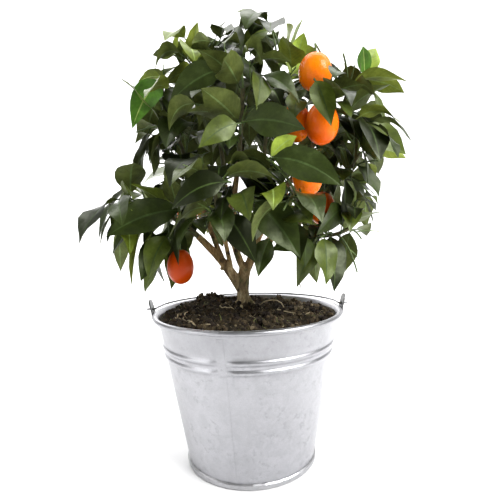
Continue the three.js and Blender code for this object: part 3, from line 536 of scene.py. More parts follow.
def makeSoilBed():
    low = soil["edge"] - soil["depth"]
    edge, bottomEdge = (wallRadius(z) - bucket["wall"] - soil["wallGap"] for z in (soil["edge"], low))
    rings, spokes = soil["rings"], soil["spokes"]
    radii = edge * np.linspace(0, 1, rings + 1)[1:]
    turns = np.arange(spokes) * 2 * math.pi / spokes
    x = (radii[:, None] * np.cos(turns)[None]).ravel()
    y = (radii[:, None] * np.sin(turns)[None]).ravel()
    points = [(0, 0, groundAt(0, 0))] + list(zip(x, y, soilSurface(x, y)))
    points += [(bottomEdge * math.cos(t), bottomEdge * math.sin(t), low) for t in turns] + [(0, 0, low)]
    finish = soilFinish("pottingSoil", (0.009, 0.007, 0.004), (0.084, 0.064, 0.035))
    return pieceFromArrays("soil_bed", points, closedRings(rings + 1, spokes), [finish])


goldenRatio = (1 + 5**0.5) / 2
lumpPoints = np.array([(a, b * goldenRatio, 0) for a in (-1, 1) for b in (-1, 1)]
                      + [(0, a, b * goldenRatio) for a in (-1, 1) for b in (-1, 1)]
                      + [(a * goldenRatio, 0, b) for a in (-1, 1) for b in (-1, 1)]) / 1.9


def lumpFaces():
    # the twenty faces of an icosahedron are its triples of nearest corners
    near = np.linalg.norm(lumpPoints[:, None] - lumpPoints[None], axis=2) < 1.12
    faces = []
    for i in range(12):
        for j in range(i + 1, 12):
            for k in range(j + 1, 12):
                if near[i, j] and near[j, k] and near[i, k]:
                    normal = np.cross(lumpPoints[j] - lumpPoints[i], lumpPoints[k] - lumpPoints[i])
                    faces.append((i, j, k) if normal @ lumpPoints[i] > 0 else (i, k, j))
    return faces


def spotOnSoil(random, margin):
    radius = (wallRadius(soil["edge"]) - margin) * math.sqrt(random.uniform())
    turn = random.uniform(0, 2 * math.pi)
    return radius * math.cos(turn), radius * math.sin(turn)


def tube(points, radii, sides):
    # a round bar through the points: its corners and faces
    points = np.asarray(points, float)
    along = np.gradient(points, axis=0)
    along /= np.linalg.norm(along, axis=1)[:, None]
    across = np.array((0.31, 0.87, 0.38))  # the ring's first spoke starts from any slanting direction
    turns = np.arange(sides) * 2 * math.pi / sides
    corners = []
    for i in range(len(points)):
        across = across - across @ along[i] * along[i]
        across /= np.linalg.norm(across)
        other = np.cross(along[i], across)
        ring = np.cos(turns)[:, None] * across + np.sin(turns)[:, None] * other
        corners.append(points[i] + ring * radii[i])
    faces = ringFaces(0, len(points), sides, rising=True)
    faces += [tuple(reversed(range(sides))), tuple((len(points) - 1) * sides + s for s in range(sides))]
    return np.concatenate(corners), faces


class Gathering:
    # gathers many small shapes into one piece
    def __init__(self):
        self.points, self.faces, self.slots, self.count = [], [], [], 0

    def addMany(self, points, faces, slots):
        self.points.append(points)
        self.faces += [tuple(self.count + c for c in face) for face in faces]
        self.slots += slots
        self.count += len(points)

    def add(self, shape, slot):
        points, faces = shape
        self.addMany(points, faces, [slot] * len(faces))

    def piece(self, name, materials, smooth=True):
        points = np.concatenate(self.points)
        return pieceFromArrays(name, points, self.faces, materials, self.slots, smooth)


def makeCrumbs():
    random = np.random.RandomState(soil["seed"])
    faces = lumpFaces()
    crumbs = Gathering()
    for crumb in range(soil["crumbs"] + soil["footCrumbs"]):
        x, y = spotOnSoil(random, 4.5)
        size = soil["crumbSize"][0] + soil["crumbSize"][1] * random.uniform() ** 3
        if crumb >= soil["crumbs"]:
            away, turn = random.uniform(*soil["footReach"]), random.uniform(0, 2 * math.pi)
            x, y = away * math.cos(turn) + soil["foot"][0], away * math.sin(turn) + soil["foot"][1]
        shape = lumpPoints * random.uniform(0.55, 1.25, (12, 1)) * random.uniform(0.7, 1.2, 3) * size
        shape = shape + (x, y, groundAt(x, y) + 0.25 * size)
        crumbs.add((shape, faces), int(random.choice(4, p=soil["crumbShares"])))
    return crumbs.piece("soil_crumbs", [
        soilFinish("crumbDark", (0.012, 0.009, 0.007), (0.05, 0.036, 0.025), 500),
        soilFinish("crumbBrown", (0.043, 0.032, 0.018), (0.146, 0.108, 0.060), 500),
        soilFinish("crumbPeat", (0.022, 0.016, 0.009), (0.088, 0.063, 0.030), 500),
        soilFinish("crumbPale", (0.110, 0.085, 0.050), (0.300, 0.240, 0.150), 500),
    ], smooth=False)


def fibrePath(random, steps=5):
    # a bent hair on the soil, cut short where it would leave the bucket
    x, y = spotOnSoil(random, 9)
    length = soil["fibreLength"][0] + soil["fibreLength"][1] * random.uniform() ** 2
    turn, bend = random.uniform(0, 2 * math.pi), random.uniform(-soil["fibreBend"], soil["fibreBend"])
    path = []
    for t in np.arange(steps + 1) / steps:
        heading = turn + bend * t
        px, py = x + length * t * math.cos(heading), y + length * t * math.sin(heading)
        if math.hypot(px, py) > wallRadius(soil["edge"]) - 4:
            break
        rise = 0.2 + 1.1 * math.sin(math.pi * t) * random.uniform(0.3, 1.2)
        path.append((px, py, groundAt(px, py) + rise))
    return path


def strawPath(start, end, bow, lift):
    path = []
    for t in np.linspace(0, 1, 7):
        x, y = mix(np.array(start, float), np.array(end, float), t)
        x += bow * math.sin(math.pi * t)
        path.append((x, y, groundAt(x, y) + soil["strawRise"] + lift * t * t))
    return path


def makeFibres():
    # root hairs, straw and chips of bark that lie on the soil or stick out of it
    random = np.random.RandomState(soil["seed"] + 1)
    fibres = Gathering()
    for fibre in range(soil["fibres"]):
        path = fibrePath(random)
        if len(path) >= 3:
            radius = random.uniform(*soil["fibreRadii"])
            shape = tube(path, np.linspace(radius, radius * 0.45, len(path)), 3)
            fibres.add(shape, int(random.choice(4, p=soil["fibreShares"])))
    fibres.add(tube(soil["root"], soil["rootRadii"], 8), 1)
    for straw in soil["straws"]:
        fibres.add(tube(strawPath(*straw), np.linspace(0.7, 0.4, 7), 5), 1)
    for x, y, height, lean in soil["sprouts"]:
        root, shares = np.array((x, y, groundAt(x, y) - 1)), (0, 0.35, 0.7, 1)
        path = [root + height * np.array((lean * t * t, 0.3 * t, t)) for t in shares]
        fibres.add(tube(path, (0.42, 0.36, 0.3, 0.14), 5), 3 if height < 8 else 0)
    return fibres.piece("soil_fibres", [
        fibreFinish("rootBrown", (0.13, 0.075, 0.04)),
        fibreFinish("paleRoot", (0.55, 0.45, 0.28)),
        fibreFinish("barkChip", (0.06, 0.032, 0.016)),
        fibreFinish("strawGreen", (0.24, 0.26, 0.09)),
    ])


soilBed = makeSoilBed()
smoothByAngle(soilBed, 60)
place(soilBed, treeBody, "soil", "soil")
place(makeCrumbs(), treeBody, "soil")
place(makeFibres(), treeBody, "soil")
print("the soil is laid")

# The growing rule: limbs, masses, twigs and leaves, with the same seeds and draws as the solids.
# A limb has its start, its bend, its end and its radii at both ends.
limbs = {
    "trunk": ((-3, 20, 151.5), (-7, 18, 176), (-1, 16, 199), (7.4, 5.4)),
    "left_bough": ((-5.2, 18.2, 174), (-20, 9, 205), (-50, -2, 236), (4.6, 3.1)),
    "centre_left_bough": ((-1.5, 16, 197), (-17, 22, 222), (-20, 20, 292), (3.7, 2.5)),
    "centre_right_bough": ((-1, 16, 196), (16, 12, 220), (22, 8, 304), (4.1, 2.5)),
    "upper_left_bough": ((-25.6, 6.5, 211), (-36, 12, 235), (-52, 14, 288), (3, 2.3)),
    "front_left_bough": ((-17, 11, 199.5), (-18, -6, 216), (-22, -32, 240), (2.8, 2.2)),
    "right_bough": ((8.6, 13.4, 215), (26, 8, 232), (62, 2, 256), (3.3, 2.5)),
    "front_right_bough": ((19.3, 10.2, 224.7), (26, -10, 230), (44, -34, 238), (2.7, 2.1)),
    "low_right_bough": ((33.2, 7, 237.5), (50, 0, 238), (74, -8, 233), (2.6, 2.1)),
    "upper_right_bough": ((15.9, 10.9, 243), (34, 2, 268), (60, -14, 308), (3, 2.3)),
    "front_upper_bough": ((-14.8, 21, 244), (-10, 0, 270), (-4, -34, 310), (2.9, 2.2)),
    "back_left_bough": ((-11.2, 19.9, 222), (-24, 38, 240), (-44, 58, 262), (3, 2.3)),
    "back_right_bough": ((12.4, 12, 226), (22, 34, 246), (42, 58, 268), (3, 2.3)),
    "back_upper_bough": ((-17.1, 20.7, 262), (-12, 44, 290), (-2, 58, 330), (2.8, 2.2)),
}

# Each mass grows on its bough, fills an ellipsoid and has a few shoots that end at named places. Their
# leaves have named tips, some of them a tint, and some face the front. `tone` is how young the leaves
# round a shoot's end are: 1 fresh, 2 the youngest.
masses = {
    "lower_left_foliage": dict(
        bough="left_bough", hub=(-112, -12, 274), twigs=6, seed=862,
        centre=(-100, -20, 252), reach=(74, 74, 76),
        shoots=[
            dict(to=(-54, -50, 260), leaves=[(-125, -66, 239, "dark"), (-66, -68, 212, "deep")]),
            dict(to=(-100, -26, 254), tone=1,
                 leaves=[(-82, -44, 191, "deep"), (-117, -32, 190, "fresh"), (-138, -24, 221, "dark")]),
            dict(to=(-108, -6, 296), tone=1,
                 leaves=[(-160, -10, 240, "dark"), (-140, 14, 276, "fresh")]),
            dict(to=(-124, -16, 274), leaves=[(-153, -14, 232, "deep")]),
        ],
        fruit=[dict(at=(-63, -45, 208), width=26, length=34)],
    ),
    "upper_left_foliage": dict(
        bough="upper_left_bough", hub=(-80, 0, 378), twigs=7, seed=945,
        centre=(-78, 2, 354), reach=(56, 66, 78),
        shoots=[
            dict(to=(-80, -6, 400), tone=1, leaves=[
                (-108, 4, 400, "fresh", "front"), (-109, -28, 347, "bright", "front"),
                (-90, -14, 338, "mid")]),
            dict(to=(-86, -4, 344), leaves=[(-112, -4, 310, "deep"), (-90, -24, 297, "deep")]),
        ],
    ),
    "top_left_foliage": dict(
        bough="centre_left_bough", hub=(-42, -2, 420), twigs=7, seed=665,
        centre=(-34, 0, 408), reach=(66, 66, 60),
        shoots=[
            dict(to=(-68, -2, 424), tone=1, leaves=[(-62, -6, 444, "young"), (-88, -14, 419, "mid")]),
            dict(to=(-26, -4, 434), leaves=[(-12, -16, 452, "dark"), (-48, -26, 424, "dark")]),
        ],
    ),
    "top_foliage": dict(
        bough="centre_right_bough", hub=(42, -2, 426), twigs=7, seed=105,
        centre=(36, 0, 412), reach=(70, 66, 72),
        shoots=[
            dict(to=(34, 0, 448), leaves=[(-2, 4, 464, "dark"), (1, -14, 427, "mid")]),
            dict(to=(50, -6, 424), tone=2, leaves=[(54, 6, 458), (68, -8, 456)]),
            dict(to=(56, -18, 402), tone=2, leaves=[(64, -26, 432, "young", "front")]),
        ],
    ),
    "upper_right_foliage": dict(
        bough="upper_right_bough", hub=(112, -30, 370), twigs=6, seed=222,
        centre=(100, -36, 358), reach=(80, 80, 80),
        shoots=[
            dict(to=(124, -22, 386), tone=2, leaves=[
                (120, -32, 415, "bright", "front"), (138, -16, 420, "young", "front"),
                (158, -36, 368, "fresh"), (152, -16, 340, "mid")]),
            dict(to=(62, -84, 366), leaves=[(73, -98, 323, "mid", "front")]),
            dict(to=(98, -78, 378), leaves=[(58, -102, 352)]),
        ],
        fruit=[
            dict(at=(68, -60, 381), width=31, length=34),
            dict(at=(71, -72, 332), width=30, length=37),
            dict(at=(50, -52, 338), width=29, length=36),
        ],
    ),
    "right_foliage": dict(
        bough="right_bough", hub=(124, 0, 318), twigs=7, seed=447,
        centre=(114, 2, 300), reach=(68, 72, 76),
        shoots=[
            dict(to=(112, -30, 334), leaves=[
                (165, -28, 312, "mid"), (126, -56, 302, "dark"), (104, -52, 284, "deep"),
                (126, -36, 282, "dark")]),
            dict(to=(140, 2, 322), leaves=[(174, 4, 312, "fresh")]),
            dict(to=(106, -14, 294), leaves=[(136, -14, 244, "dark"), (98, -42, 244, "deep")]),
        ],
        fruit=[dict(at=(84, 2, 262), width=28, length=36)],
    ),
    "lower_right_foliage": dict(
        bough="low_right_bough", hub=(108, -20, 240), twigs=6, seed=6,
        centre=(90, -18, 230), reach=(66, 66, 74),
        shoots=[
            dict(to=(70, -28, 232), leaves=[(50, -46, 184, "mid"), (80, -34, 194, "dark")]),
            dict(to=(100, -28, 260), leaves=[(70, -56, 234)]),
            dict(to=(98, -20, 236), leaves=[(84, -34, 190, "dark")]),
        ],
    ),
    "front_right_foliage": dict(
        bough="front_right_bough", hub=(44, -84, 272), twigs=6, seed=984,
        centre=(40, -72, 262), reach=(66, 62, 74),
        shoots=[
            dict(to=(20, -88, 300), leaves=[(78, -112, 274, "dark"), (46, -88, 318, "young")]),
            dict(to=(6, -80, 266), leaves=[(45, -100, 217, "dark")]),
            dict(to=(-18, -80, 256), leaves=[(8, -97, 213, "deep")]),
        ],
        fruit=[dict(at=(57, -67, 288), width=28, length=38)],
    ),
    "front_left_foliage": dict(
        bough="front_left_bough", hub=(-26, -84, 286), twigs=8, seed=204,
        centre=(-26, -66, 272), reach=(70, 64, 66),
        shoots=[dict(to=(-10, -98, 280), leaves=[(-60, -106, 262, "deep")])],
    ),
    "front_upper_foliage": dict(
        bough="front_upper_bough", hub=(2, -78, 362), twigs=6, seed=947,
        centre=(2, -62, 348), reach=(76, 66, 72),
        shoots=[
            dict(to=(-1, -86, 330), leaves=[(-33, -106, 308, "mid"), (50, -100, 320, "dark")]),
            dict(to=(-12, -66, 384), leaves=[(-8, -96, 324, "deep"), (-64, -66, 356, "dark")]),
            dict(to=(18, -66, 378), leaves=[(16, -96, 340, "mid"), (52, -82, 350, "dark")]),
        ],
    ),
    "back_left_foliage": dict(
        bough="back_left_bough", hub=(-76, 98, 296), twigs=8, seed=153,
        centre=(-64, 82, 280), reach=(78, 66, 74),
        fruit=[dict(at=(-78, 108, 262), width=28, length=36)],
    ),
    "back_right_foliage": dict(
        bough="back_right_bough", hub=(74, 98, 300), twigs=8, seed=795,
        centre=(64, 82, 284), reach=(78, 66, 76),
        fruit=[dict(at=(52, 118, 276), width=28, length=36)],
    ),
    "back_upper_foliage": dict(
        bough="back_upper_bough", hub=(4, 96, 390), twigs=9, seed=349,
        centre=(0, 82, 370), reach=(84, 66, 74),
        fruit=[dict(at=(-34, 112, 366), width=28, length=35)],
    ),
}

# Gaps in the crown that stay free of leaves: cones that fan out from a place in front of the tree (its y
# and z), each with its x, z and radius at y = 0.
openSky = {
    "from": (-425, 240),
    "gaps": {
        "top": (47, 471, 8),
        "besideTop": (38, 469, 5),
        "aboveUpperRight": (95, 438, 21),
        "besideUpperRight": (114, 414, 10),
        "rightEdgeAbove": (164, 414, 12),
        "rightShoulder": (157, 376, 6),
        "rightShoulderOuter": (178, 360, 13),
        "leftShoulder": (-126, 341, 9),
        "rightEdge": (159, 298, 14),
        "rightEdgeBelow": (159, 268, 14),
        "lowRight": (135, 215, 12),
        "lowRightUnder": (122, 194, 13),
        "underRight": (76, 172, 9),
        "rightOfTrunk": (37, 204, 10),
        "leftOfTrunk": (-40, 212, 15),
        "underLeftFruit": (-50, 228, 6),
    },
}

growth = {
    "twigShare": 0.56,  # how far out in its mass a spread twig ends
    "twigRadii": (1.2, 0.8),
    "twigClear": (2, 2.5, 2.4, 2.4),  # its gaps to fruit, limbs, leaves and other twigs
    "twigLead": 0.2,  # how far it goes the stem's own way
    "twigBend": 0.3,
    "twigArch": 0.14,
    "tipRise": 0.3,  # how far the rise and the turn of a spread tip stray in all
    "tipTurn": 0.9,
    "tipStep": 0.7,  # its turn from one try to the next
    "tipSpread": (0.85, 1.15),
    "stemTip": 1.9,
    "stemBend": 0.45,
    "firstTwig": 0.15,  # the share of the stem that is bare
    "leafSpacing": 6,
    "leafFrom": 0.25,  # the share of a twig that is bare
    "leafLength": (62, 88),
    "leafWidth": 0.42,  # of its length
    "leafAngle": (70, 34),  # degrees from the twig, first and last leaf
    "leafScale": (1, 0.75),  # first and last try
    "leafGap": (2.8, 4.6),  # to leaves of its own mass and of the others
    "spaceShare": 1.0,
    "droop": (0.7, 2.2),
    "shootShares": 0.05,
    "leafTurn": 16,  # degrees that its angle strays in all
    "leafFall": (1.05, 0.86),  # how its length falls off from the twig's foot to its end
    "leafBend": 0.42,  # the share of its length where it bends
    "leafSpread": (0.9, 1.1),  # narrowest and widest for its length
    "arch": 0.2,  # of a leaf with a named tip, as are the next three
    "faceRise": 0.1,
    "namedBend": 0.45,
    "namedSpread": (0.95, 1.15),
    "leastSide": 0.02,  # a leaf that hangs straighter down than this takes its face from elsewhere
    "stray": 0.3,
    "roll": 0.9,
    "tries": 12,
    "wideGap": 16,
    "fruitGap": 2,
    "limbGap": 2.5,
    "twigGap": 2.4,
    "stalk": 8,
    "clear": 0.3,
    "goldenAngle": 2.399963,
    "bailPivot": 159.6,
    "bailRadius": 101.3,
    "bailRoom": 7,
    "bailSwing": (-12, 40),  # degrees up from folded back, with some room at both ends
    "earRoom": (88, 112, 16, 176),  # least and most x, most y and z
    "rimRoom": (108, 10, 2),  # within this radius, this far over the rim, and everywhere else this far
}
# Finer growth: small side twigs with smaller leaves, within the masses' same spaces
fine = {
    "share": 0.6,  # where on a twig its side twig starts
    "length": (14, 26),
    "twigRadii": (0.7, 0.45),
    "twigClear": (1.5, 2, 1.2, 1.6),
    "angle": 58,
    "rise": 0.2,
    "follow": 0.6,  # how far its outer half turns the twig's way again, and how far it drops
    "drop": 0.3,
    "droop": 0.9,
    "leafShares": (0.6, 0.98),
    "leafScale": (0.74, 0.52),
    "leafGap": (1.8, 1.8),
    "spaceShare": 0.86,
    "tries": 5,
    "seedStep": 3001,
}
up = np.array((0.0, 0.0, 1.0))


def seeded(seed):
    state = seed * 7919 + 17

    def draw():
        nonlocal state
        state = state * 16807 % 2147483647
        return state / 2147483647

    return draw


def unit(vector):
    return vector / math.sqrt(vector @ vector)


def cross(a, b):
    return np.array((a[1] * b[2] - a[2] * b[1], a[2] * b[0] - a[0] * b[2], a[0] * b[1] - a[1] * b[0]))


def turnedAbout(vector, axis, angle):
    c, s = math.cos(angle), math.sin(angle)
    return vector * c + cross(axis, vector) * s + axis * (axis @ vector) * (1 - c)


class Curve:
    # a quadratic curve through space
    def __init__(self, start, bend, end):
        self.start, self.bend, self.end = (np.asarray(p, float) for p in (start, bend, end))

    def at(self, t):
        t = np.asarray(t, float)[..., None]
        return self.start * (1 - t) ** 2 + self.bend * 2 * t * (1 - t) + self.end * t**2

    def heading(self, t):
        step = 1e-4
        return unit(self.at(min(1.0, t + step)) - self.at(max(0.0, t - step)))

    def points(self, spacing):
        count = max(2, math.ceil(np.linalg.norm(self.end - self.start) / spacing))
        return self.at(np.arange(count + 1) / count)


class Stock:
    # everything of one kind that stands so far: sample points, with the mass and the twig they belong to
    def __init__(self):
        self.points, self.masses, self.twigs = [], np.zeros(0, int), np.zeros(0, int)
        self.middles, self.spans, self.thick = np.zeros((0, 3)), np.zeros(0), np.zeros(0)

    def add(self, points, mass=-1, twig=-1, thick=0.0):
        middle = points[len(points) // 2]
        self.points.append(points)
        self.masses = np.append(self.masses, mass)
        self.twigs = np.append(self.twigs, twig)
        self.middles = np.vstack([self.middles, middle])
        self.spans = np.append(self.spans, np.linalg.norm(points - middle, axis=1).max())
        self.thick = np.append(self.thick, thick)

    def room(self, points, reach, counted=True):
        # the least distance from the points to anything here that counts, as far as the reach
        middle = points[len(points) // 2]
        span = np.linalg.norm(points - middle, axis=1).max()
        far = np.linalg.norm(self.middles - middle, axis=1)
        near = np.nonzero((far <= self.spans + span + reach + self.thick) & counted)[0]
        if not len(near):
            return reach
        others = np.concatenate([self.points[i] for i in near])
        thick = np.repeat(self.thick[near], [len(self.points[i]) for i in near])
        square = (points**2).sum(1)[:, None] + (others**2).sum(1)[None] - 2 * points @ others.T
        return min(reach, float((np.sqrt(np.maximum(square, 0)) - thick).min()))


leafStock, twigStock, limbStock = Stock(), Stock(), Stock()
allFruit = [fruit for mass in masses.values() for fruit in mass.get("fruit", ())]
limbCurves = {name: Curve(*limb[:3]) for name, limb in limbs.items()}
limbRadii = {name: limb[3] for name, limb in limbs.items()}
for name, curve in limbCurves.items():
    limbStock.add(curve.points(4), thick=limbRadii[name][0])


def leafOutline(t):
    # the half width of a leaf of width 1, from its root at 0 to its drawn-out tip at 1
    return 0.5 * math.sin(math.pi * t**0.8) ** 0.8 * (1.12 - 0.3 * t)


sampleShares = np.arange(2, 11) / 10
sampleWidths = np.array([leafOutline(min(t, 0.995)) for t in sampleShares])
sampleAcross = np.array((-0.85, -0.42, 0, 0.42, 0.85))


def leafSamples(leaf):
    middles = leaf["curve"].at(sampleShares)
    across = sampleWidths[:, None] * leaf["width"] * sampleAcross[None]
    return (middles[:, None] + across[..., None] * leaf["side"]).reshape(-1, 3)


def inSpace(mass, points, share):
    away = (points - mass["centre"]) / mass["reach"] / share
    return bool(((away**2).sum(1) < 1).all())


def inOpenSky(points):
    eyeY, eyeZ = openSky["from"]
    share = eyeY / (eyeY - points[:, 1])
    x, z = points[:, 0] * share, eyeZ + (points[:, 2] - eyeZ) * share
    gaps = openSky["gaps"].values()
    return any((np.hypot(x - gapX, z - gapZ) < radius).any() for gapX, gapZ, radius in gaps)


def inKeepOut(points):
    # the space that the bail swings through, its ears, the bucket and all below the rim are kept free
    x, y, z = points.T
    over = z - growth["bailPivot"]
    reach, rise = np.sqrt(x * x + y * y + over**2), np.degrees(np.arctan2(over, y))
    lowest, highest = growth["bailSwing"]
    inSwing = (abs(reach - growth["bailRadius"]) < growth["bailRoom"]) & (y > -4)
    inSwing = inSwing & (rise > lowest) & (rise < highest)
    near, far, deep, high = growth["earRoom"]
    atEar = (abs(x) > near) & (abs(x) < far) & (abs(y) < deep) & (z < high)
    rimRadius, overRim, least = growth["rimRoom"]
    atRim = (np.hypot(x, y) < rimRadius) & (z < bucket["height"] + overRim)
    return bool((inSwing | atEar | atRim | (z < bucket["height"] + least)).any())


def fruitHit(points, gap):
    for fruit in allFruit:
        away = points - fruit["at"]
        width, height = fruit["width"] / 2 + gap, fruit["length"] / 2 + gap
        if (((away[:, 0] ** 2 + away[:, 1] ** 2) / width**2 + away[:, 2] ** 2 / height**2) < 1).any():
            return True
    return False


def twigTo(stem, share, tip):
    # a twig leaves the stem at a share of its length, rises a little and bends over to its tip
    start = stem.at(share)
    reach = np.linalg.norm(tip - start)
    lead = start + stem.heading(share) * reach * growth["twigLead"]
    return Curve(start, mix(lead, tip, growth["twigBend"]) + up * reach * growth["twigArch"], tip)


def bendAxis(curve):
    axis = cross(curve.bend - curve.start, curve.end - curve.bend)
    return np.array((1.0, 0, 0)) if axis @ axis < 1e-3 else unit(axis)


def leafOn(twig, share, face, draw, scale):
    # a leaf leaves the middle of one of the twig's three faces, turned a little either way
    along = twig["curve"].heading(share)
    turn = math.pi / 2 + face * 2 * math.pi / 3 + growth["stray"] * 2 * (draw() - 0.5)
    out = turnedAbout(twig["side"], along, turn)
    angle = math.radians(mix(*growth["leafAngle"], share) + growth["leafTurn"] * (draw() - 0.5))
    heading = unit(along * math.cos(angle) + out * math.sin(angle))
    length = mix(*growth["leafLength"], draw()) * mix(*growth["leafFall"], share) * scale
    later = unit(heading - up * mix(*growth["droop"], draw()) * twig["droop"])
    root = twig["curve"].at(share)
    middle = root + heading * length * growth["leafBend"]
    side = cross(heading, up)
    side = unit(out if side @ side < growth["leastSide"] else side)
    side = turnedAbout(side, heading, growth["roll"] * 2 * (draw() - 0.5))
    width = length * growth["leafWidth"] * mix(*growth["leafSpread"], draw())
    curve = Curve(root, middle, middle + later * length * (1 - growth["leafBend"]))
    return dict(curve=curve, side=side, length=length, width=width, twig=twig)


def leafTo(twig, rank, tip, draw):
    # a leaf from the end of a shoot that reaches to a named tip, its face turned out from the tree
    root = twig["curve"].at(1 - rank * growth["shootShares"])
    length = np.linalg.norm(tip - root)
    middle = mix(root, tip, growth["namedBend"]) + up * length * growth["arch"]
    heading = unit(middle - root)
    outward = unit(np.array((root[0], root[1], 0.0)))
    side = cross(heading, mix(outward, up, growth["faceRise"]))
    side = np.array((1.0, 0, 0)) if side @ side < growth["leastSide"] else unit(side)
    side = turnedAbout(side, heading, growth["roll"] * (draw() - 0.5))
    width = length * growth["leafWidth"] * mix(*growth["namedSpread"], draw())
    return dict(curve=Curve(root, middle, tip), side=side, length=length, width=width, twig=twig)


def leafRoom(plan, leaf, points, counted=True, manner=growth):
    # how much room a leaf has round it, or 0 where it doesn't fit
    if not inSpace(plan["mass"], points, manner["spaceShare"]) or inKeepOut(points) or inOpenSky(points):
        return 0
    if fruitHit(points, growth["fruitGap"]):
        return 0
    if limbStock.room(points, growth["limbGap"]) < growth["limbGap"]:
        return 0
    notOwn = twigStock.twigs != leaf["twig"]["id"]
    if twigStock.room(points[10:], growth["twigGap"], notOwn) < growth["twigGap"]:
        return 0
    ownGap, otherGap = manner["leafGap"]
    room = leafStock.room(points, growth["wideGap"], counted)
    others = leafStock.masses != plan["index"]
    if room < otherGap and leafStock.room(points, otherGap, others) < otherGap:
        return 0
    return 0 if room < ownGap else room


def twigFree(points, parent, gaps):
    # whether a twig stays clear of bail, fruit, limbs, leaves and every twig but its parent
    outer = points[2:]
    fruitGap, limbGap, leafGap, twigGap = gaps
    if inKeepOut(points) or fruitHit(outer, fruitGap) or limbStock.room(outer, limbGap) < limbGap:
        return False
    if leafStock.room(outer, leafGap) < leafGap:
        return False
    return twigStock.room(outer, twigGap, twigStock.twigs != parent["id"]) >= twigGap


def planMass(index, mass):
    # the stem goes on from the bough's tip to the hub, and the twigs part from it in order
    mass["centre"], mass["reach"] = np.array(mass["centre"], float), np.array(mass["reach"], float)
    bough = limbCurves[mass["bough"]]
    run = bough.heading(1.0)
    start = bough.end + run * growth["clear"]
    hub = np.array(mass["hub"], float)
    curve = Curve(start, start + run * np.linalg.norm(hub - start) * growth["stemBend"], hub)
    radii = (limbRadii[mass["bough"]][1], growth["stemTip"])
    stem = dict(curve=curve, radii=radii, id=len(twigStock.points))
    twigStock.add(curve.points(5), index, stem["id"], growth["stemTip"])
    plan = dict(index=index, mass=mass, draw=seeded(mass["seed"]), stem=stem)
    plan.update(twigs=[], fineTwigs=[], leaves=[])
    tips = [dict(at=stalkTop(fruit), droop=1, leaves=[]) for fruit in mass.get("fruit", ())]
    for shoot in mass.get("shoots", ()):
        tips.append(dict(at=np.array(shoot["to"], float), droop=0.4, leaves=shoot["leaves"]))
    tips += [dict(at=spreadTip(plan, i, 0), droop=1, leaves=[], spread=i) for i in range(mass["twigs"])]
    along = unit(hub - start)
    tips.sort(key=lambda tip: tip["at"] @ along)
    for rank, tip in enumerate(tips):
        tip["share"] = mix(growth["firstTwig"], 1, rank / (len(tips) - 1))
    plan["shoots"] = [tip for tip in tips if "spread" not in tip]
    plan["spreads"] = [tip for tip in tips if "spread" in tip]
    return plan


def stalkTop(fruit):
    return np.array(fruit["at"], float) + up * (fruit["length"] / 2 + growth["stalk"])


def spreadTip(plan, i, attempt):
    mass, draw = plan["mass"], plan["draw"]
    rise = 1 - 2 * (i + 0.5) / mass["twigs"] + growth["tipRise"] * (draw() - 0.5)
    turn = i * growth["goldenAngle"] + mass["seed"] + growth["tipTurn"] * (draw() - 0.5)
    turn += attempt * growth["tipStep"]
    share = growth["twigShare"] * mix(*growth["tipSpread"], draw())
    flat = math.sqrt(max(0, 1 - rise * rise))
    direction = np.array((flat * math.cos(turn), flat * math.sin(turn), rise))
    return mass["centre"] + mass["reach"] * direction * share


def addTwig(plan, kind, curve, spacing, radii, side, **rest):
    twig = dict(curve=curve, radii=radii, side=side, id=len(twigStock.points), **rest)
    plan[kind].append(twig)
    twigStock.add(curve.points(spacing), plan["index"], twig["id"], radii[1])


def placeTwig(plan, curve, tip):
    side = bendAxis(curve) * (1 if plan["draw"]() < 0.5 else -1)
    addTwig(plan, "twigs", curve, 5, growth["twigRadii"], side, droop=tip["droop"], leaves=tip["leaves"])


def growShoots(plan):
    for tip in plan["shoots"]:
        placeTwig(plan, twigTo(plan["stem"]["curve"], tip["share"], tip["at"]), tip)


def growShootLeaves(plan):
    for twig in plan["twigs"]:
        for rank, (x, y, z, *looks) in enumerate(twig["leaves"]):
            leaf = leafTo(twig, rank, np.array((x, y, z), float), plan["draw"])
            points = leafSamples(leaf)
            if leafRoom(plan, leaf, points, leafStock.twigs != twig["id"]) > 0:
                leafStock.add(points, plan["index"], twig["id"])
                plan["leaves"].append(leaf)
                leaf["steady"] = True
                if looks:
                    leaf["tint"] = looks[0]
                if "front" in looks:  # a blade that turns its face to the front, about its own midrib
                    leaf["side"] = unit(cross(leaf["curve"].heading(0.5), np.array((0, -1.0, 0.2))))


def growSpreadTwigs(plan):
    # a spread twig tries other tips until it is free of all that stands already, or is skipped
    stem = plan["stem"]
    for tip in plan["spreads"]:
        for attempt in range(1, growth["tries"] + 1):
            curve = twigTo(stem["curve"], tip["share"], tip["at"])
            if twigFree(curve.points(5), stem, growth["twigClear"]):
                placeTwig(plan, curve, tip)
                break
            tip["at"] = spreadTip(plan, tip["spread"], attempt)


def growLeaf(plan, twig, share, face, draw, manner):
    # the roomiest of some tries, each a little smaller than the one before
    best, bestRoom = None, 0
    for attempt in range(manner["tries"]):
        scale = mix(*manner["leafScale"], attempt / manner["tries"])
        leaf = leafOn(twig, share, face + attempt, draw, scale)
        points = leafSamples(leaf)
        room = leafRoom(plan, leaf, points, manner=manner)
        if room > bestRoom:
            best, bestRoom, bestPoints = leaf, room, points
    if best:
        leafStock.add(bestPoints, plan["index"])
        plan["leaves"].append(best)


def growLeaves(plan):
    for twig in plan["twigs"]:
        length = np.linalg.norm(twig["curve"].end - twig["curve"].start)
        count = max(3, math.floor(length * (1 - growth["leafFrom"]) / growth["leafSpacing"] + 0.5) + 1)
        firstFace = math.floor(plan["draw"]() * 3)
        for j in range(count - 1 - len(twig["leaves"]), -1, -1):
            share = mix(growth["leafFrom"], 1, j / (count - 1))
            growLeaf(plan, twig, share, firstFace + j, plan["draw"], growth)


